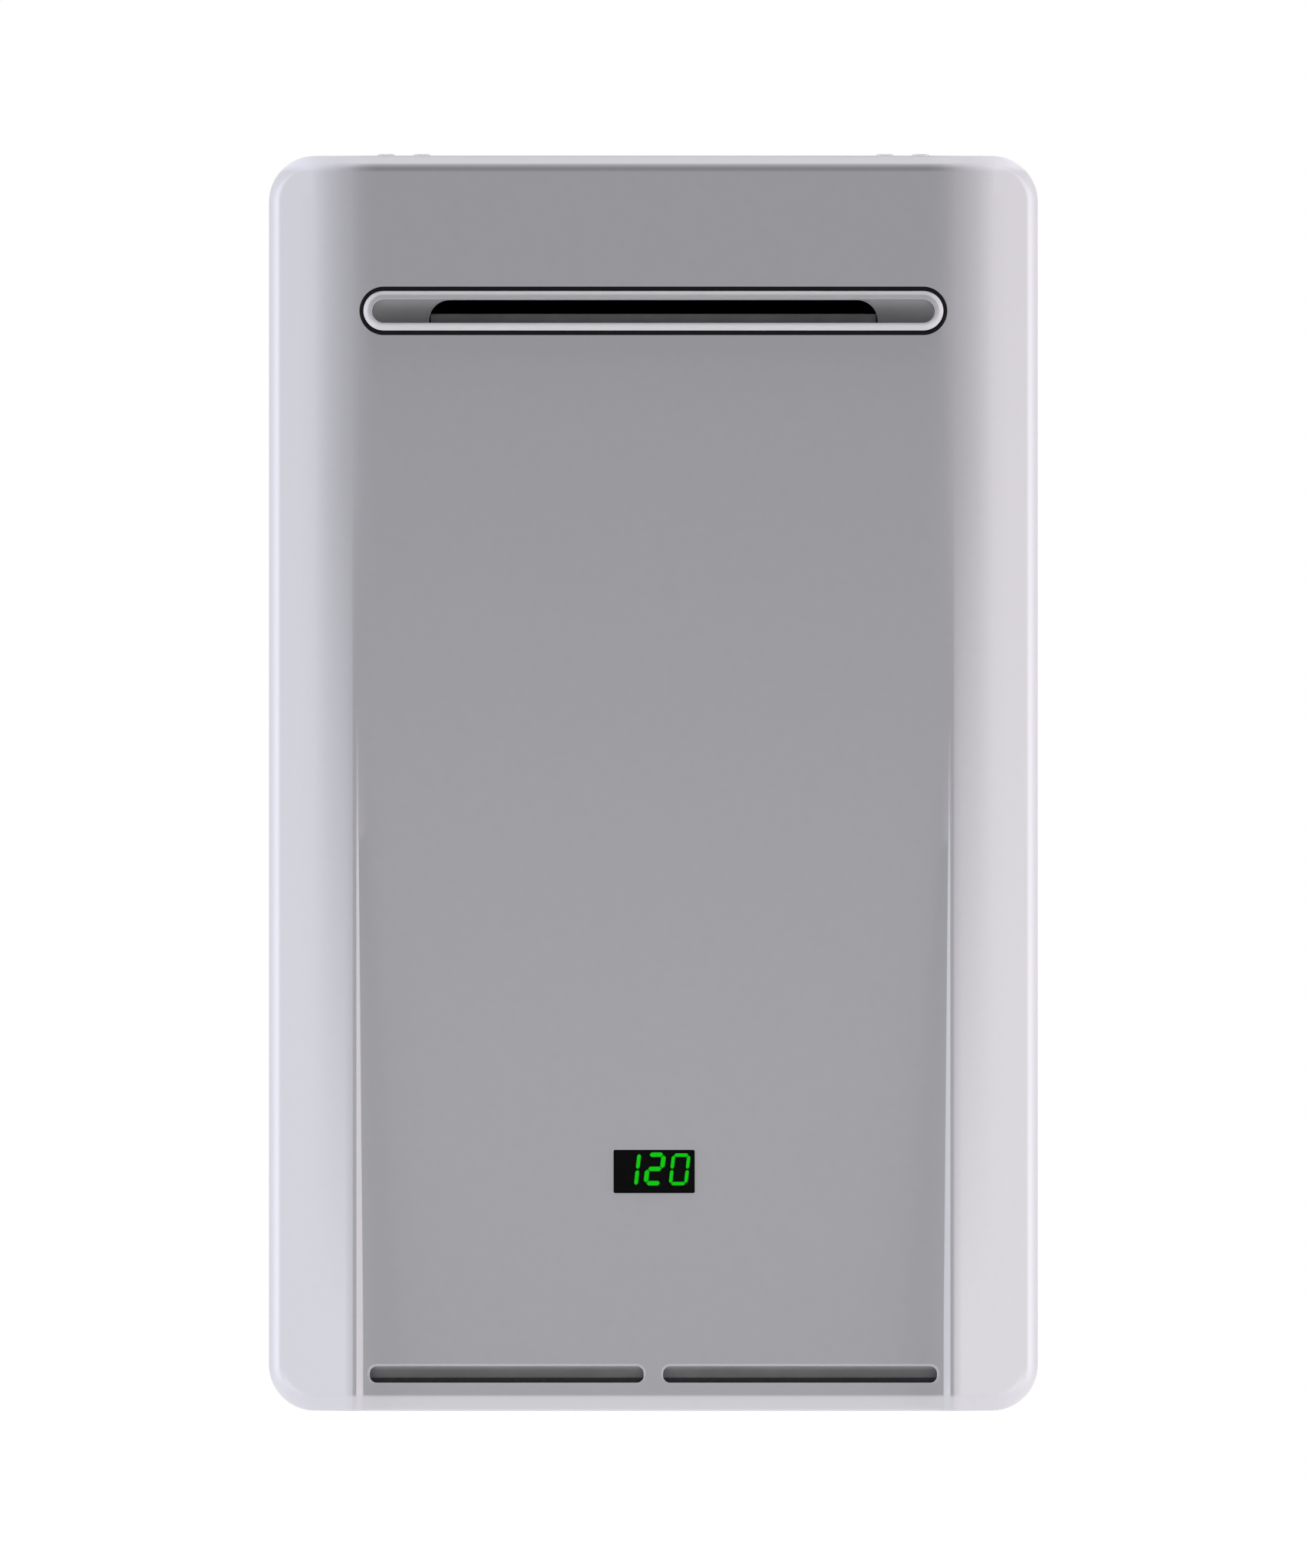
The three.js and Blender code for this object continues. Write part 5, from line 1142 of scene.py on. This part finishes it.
def make_screws():
    """Pan head screws with a cross recess and a threaded shank."""
    top = SCREW_SEAT + SCREW_RISE
    for number in range(1, len(SCREW_PLACES) + 1):
        node = f"cover_screw_{number}"
        low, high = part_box(node)
        x, off = (low[0] + high[0]) / 2 / MM, -(low[1] + high[1]) / 2 / MM
        rings = lathe(screw_profile(low[2] / MM + HANG), (x, off), 40)
        body = body_of(frame["nodes"][node])[0]
        screw = new_solid(node + "_piece", [rings], materials["zinc"], body)
        cutters = []
        for wide, deep in ((CROSS_WIDE, CROSS_NARROW), (CROSS_NARROW, CROSS_WIDE)):
            plan = [(x + side * wide, off + ahead * deep) for side, ahead in CORNERS]
            cutters.append(upright("cut_cross", plan, (top - CROSS_DEEP, top + CROSS_DEEP)))
        cut_with(screw, cutters, SCREW_ANGLE)
        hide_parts(node)


# Threads and small screws

PORTS = {"hot": (-130, 95), "gas": (68, 105), "cold": (130, 95)}
NIPPLE = 13.25
THREAD_CREST, THREAD_PITCH = 13.95, 1.8
THREAD_LOW, THREAD_HIGH = 8.8, 30
THREAD_TAPER = 0.35
THREAD_SUNK = 0.6
THREAD_CREST_SHARES = (0.42, 0.58)
THREAD_ANGLE = 25
FLOOR = 38
WATER_SCREW, GAS_SCREW = 12.6, 16.5
LID_FRONT, BURNER_FRONT, MANIFOLD_FRONT = 238.7, 190.2, 206
FLANGE_SUNK = 0.05
# Groups of small screws: the way they face, their heads' radius, and their places
SMALL_SCREWS = {
    "lid_screws": ("forward", 2.2, [
        (x, LID_FRONT, z) for x in (-81.5, 81.5) for z in (62.5, 159.5)
    ]),
    "burner_screws": ("forward", 2.8, [
        (x, BURNER_FRONT, z) for x in (-93.5, 93.5) for z in (212, 278.5)
    ]),
    "manifold_screws": ("forward", 3.2, [(x, MANIFOLD_FRONT, 236) for x in (-84, 84)]),
    "floor_screws": ("down", 2.6, [
        (PORTS[name][0] + side * reach, PORTS[name][1] + ahead * reach, FLOOR)
        for name, reach, front in (
            ("hot", WATER_SCREW, (-1,)), ("cold", WATER_SCREW, (-1,)), ("gas", GAS_SCREW, (-1, 1)),
        )
        for side in (-1, 1) for ahead in front
    ]),
}


def make_threads():
    """A tapered pipe thread round each connection under the floor."""
    tall = THREAD_HIGH - THREAD_LOW
    for name, centre in PORTS.items():
        profile = [(NIPPLE - THREAD_SUNK, THREAD_LOW), (NIPPLE - 0.1, THREAD_LOW)]
        z = THREAD_LOW + 0.3
        while z + THREAD_PITCH < THREAD_HIGH:
            crest = THREAD_CREST - THREAD_TAPER * (1 - (z - THREAD_LOW) / tall)
            profile.append((NIPPLE, z))
            profile += [(crest, z + share * THREAD_PITCH) for share in THREAD_CREST_SHARES]
            z += THREAD_PITCH
        profile += [(NIPPLE, z), (NIPPLE - THREAD_SUNK, z)]
        rings = lathe(profile, centre, 48)
        new_loop("pipe_thread_" + name, rings, materials["brass"], smooth_angle=THREAD_ANGLE)


def screw_parts(point, axis, radius):
    """A round flange and the hexagon head on it, standing out along an axis."""
    x, off, z = point
    parts = []
    r = radius
    for steps, profile in (
        (24, ((1.3 * r, -FLANGE_SUNK), (1.3 * r, 0.28 * r), (1.2 * r, 0.36 * r))),
        (6, ((r, 0.3 * r), (r, 0.95 * r), (0.84 * r, 1.08 * r))),
    ):
        rings = []
        for wide, out in profile:
            if axis == "forward":
                rings.append([(x + u, off + out, z + v) for u, v in round_ring(wide, steps)])
            else:
                rings.append([(x + u, off + v, z - out) for u, v in round_ring(wide, steps)])
        parts.append(rings)
    return parts


def make_small_screws():
    """The small screws of the control box's lid, the burner, the manifold and the floor."""
    for name, (axis, radius, places) in SMALL_SCREWS.items():
        parts = [part for point in places for part in screw_parts(point, axis, radius)]
        new_solid(name, parts, materials["zinc"], smooth_angle=SHARP_ANGLE)


# Pieces that keep their solid's form, with softened edges

TUBE_ANGLE = 60
SHEET_ANGLE = 36
BEVEL_ANGLE = 40
FLAT_ANGLE = 0.6
SOLID_WELD = 0.004


def round_tube(made):
    """Rounds a tube's sides and bends, and leaves its ends flat."""
    creases = made.data.attributes.new("crease_edge", "FLOAT", "EDGE")
    for edge in made.data.edges:
        creases.data[edge.index].value = 1.0 if edge.use_edge_sharp else 0.0
    add_modifier(made, "SUBSURF", levels=1, render_levels=1)
    apply_modifiers(made)
    shade_round(made.data, TUBE_ANGLE)


def soften_edges(made, bevel):
    """Bevels an object's sharp edges, and shades its flat faces flat between them."""
    add_modifier(
        made, "BEVEL", width=bevel * MM, segments=2, limit_method="ANGLE",
        angle_limit=math.radians(BEVEL_ANGLE), use_clamp_overlap=True,
    )
    apply_modifiers(made)
    shade_round(made.data, SHEET_ANGLE)
    add_modifier(made, "WEIGHTED_NORMAL", keep_sharp=True, weight=100)
    apply_modifiers(made)


def dress(node, material, bevel):
    """A finer copy of a solid: its edges softened, or where no bevel is given a rounder tube."""
    source = frame["nodes"][node]
    mesh = source.data.copy()
    work = bmesh.new()
    work.from_mesh(mesh)
    bmesh.ops.remove_doubles(work, verts=work.verts, dist=SOLID_WELD * MM)
    flat = math.radians(FLAT_ANGLE)
    bmesh.ops.dissolve_limit(work, angle_limit=flat, verts=work.verts, edges=work.edges)
    work.to_mesh(mesh)
    work.free()
    angle = SHEET_ANGLE if bevel else TUBE_ANGLE
    made = finish_object(node + "_piece", mesh, material, body_of(source)[0], angle)
    if bevel:
        soften_edges(made, bevel)
    else:
        round_tube(made)
    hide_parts(node)


# Each piece's finish and its edges' bevel
DRESSED = {
    "case_shell": ("case_paint", 0.3), "case_back": ("galvanised", 0.2),
    "cover_gasket": ("rubber", 0.5), "upper_wall_bracket": ("galvanised", 0.3),
    "lower_wall_bracket": ("galvanised", 0.3), "bottom_plate": ("galvanised", 0.3),
    "intake_baffle": ("baffle", 0.3), "burner_box": ("galvanised", 0.3),
    "burner_rack": ("stainless", 0.25), "gas_manifold": ("cast", 0.4),
    "igniter_electrode": ("ceramic", 0.2), "flame_rod": ("ceramic", 0.2),
    "combustion_jacket": ("copper", 0.3), "jacket_coil": ("copper", 0),
    "heat_exchanger_core": ("copper", 0.2), "flue_hood": ("flue_black", 0.3),
    "overheat_switch": ("black_plastic", 0.3), "fan_housing": ("galvanised", 0.3),
    "fan_inlet_plate": ("galvanised", 0.3), "fan_impeller": ("black_plastic", 0.2),
    "fan_motor": ("dark_steel", 0.5), "gas_inlet_fitting": ("brass", 0.4),
    "gas_valve_body": ("cast", 0.8), "main_solenoid": ("black_plastic", 0.5),
    "modulating_solenoid": ("black_plastic", 0.5), "main_plunger": ("steel", 0.3),
    "modulating_plunger": ("steel", 0.3), "gas_pipe": ("copper", 0),
    "cold_inlet_fitting": ("brass", 0.5), "hot_outlet_fitting": ("brass", 0.5),
    "outlet_thermistor": ("brass", 0.2), "inlet_filter_plug": ("black_plastic", 0.4),
    "drain_plug": ("black_plastic", 0.4), "flow_sensor_body": ("black_plastic", 0.4),
    "flow_turbine": ("grey_plastic", 0.15), "water_valve_body": ("brass", 0.4),
    "water_valve_disc": ("steel", 0.15), "water_valve_motor": ("black_plastic", 0.5),
    "cold_pipe": ("copper", 0), "hot_pipe": ("copper", 0), "bypass_pipe": ("copper", 0),
    "control_bracket": ("galvanised", 0.2), "control_box": ("grey_plastic", 0.5),
    "circuit_board": ("board", 0.15), "control_lid": ("grey_plastic", 0.4),
    "ignition_transformer": ("black_plastic", 0.5), "ignition_lead": ("red_cable", 0),
    "fan_cable": ("black_plastic", 0), "cable_gland": ("black_plastic", 0.3),
}


def dress_all():
    for node, (finish, bevel) in DRESSED.items():
        dress(node, materials[finish], bevel)


materials = make_materials()
make_camera()
make_world()
make_lights()
make_cover()
make_exhaust()
make_flue_strip()
make_lens()
make_display()
make_slot_lips()
make_gap_shade_strip()
make_screws()
make_threads()
make_small_screws()
dress_all()

bpy.context.scene.view_settings.view_transform = "Standard"
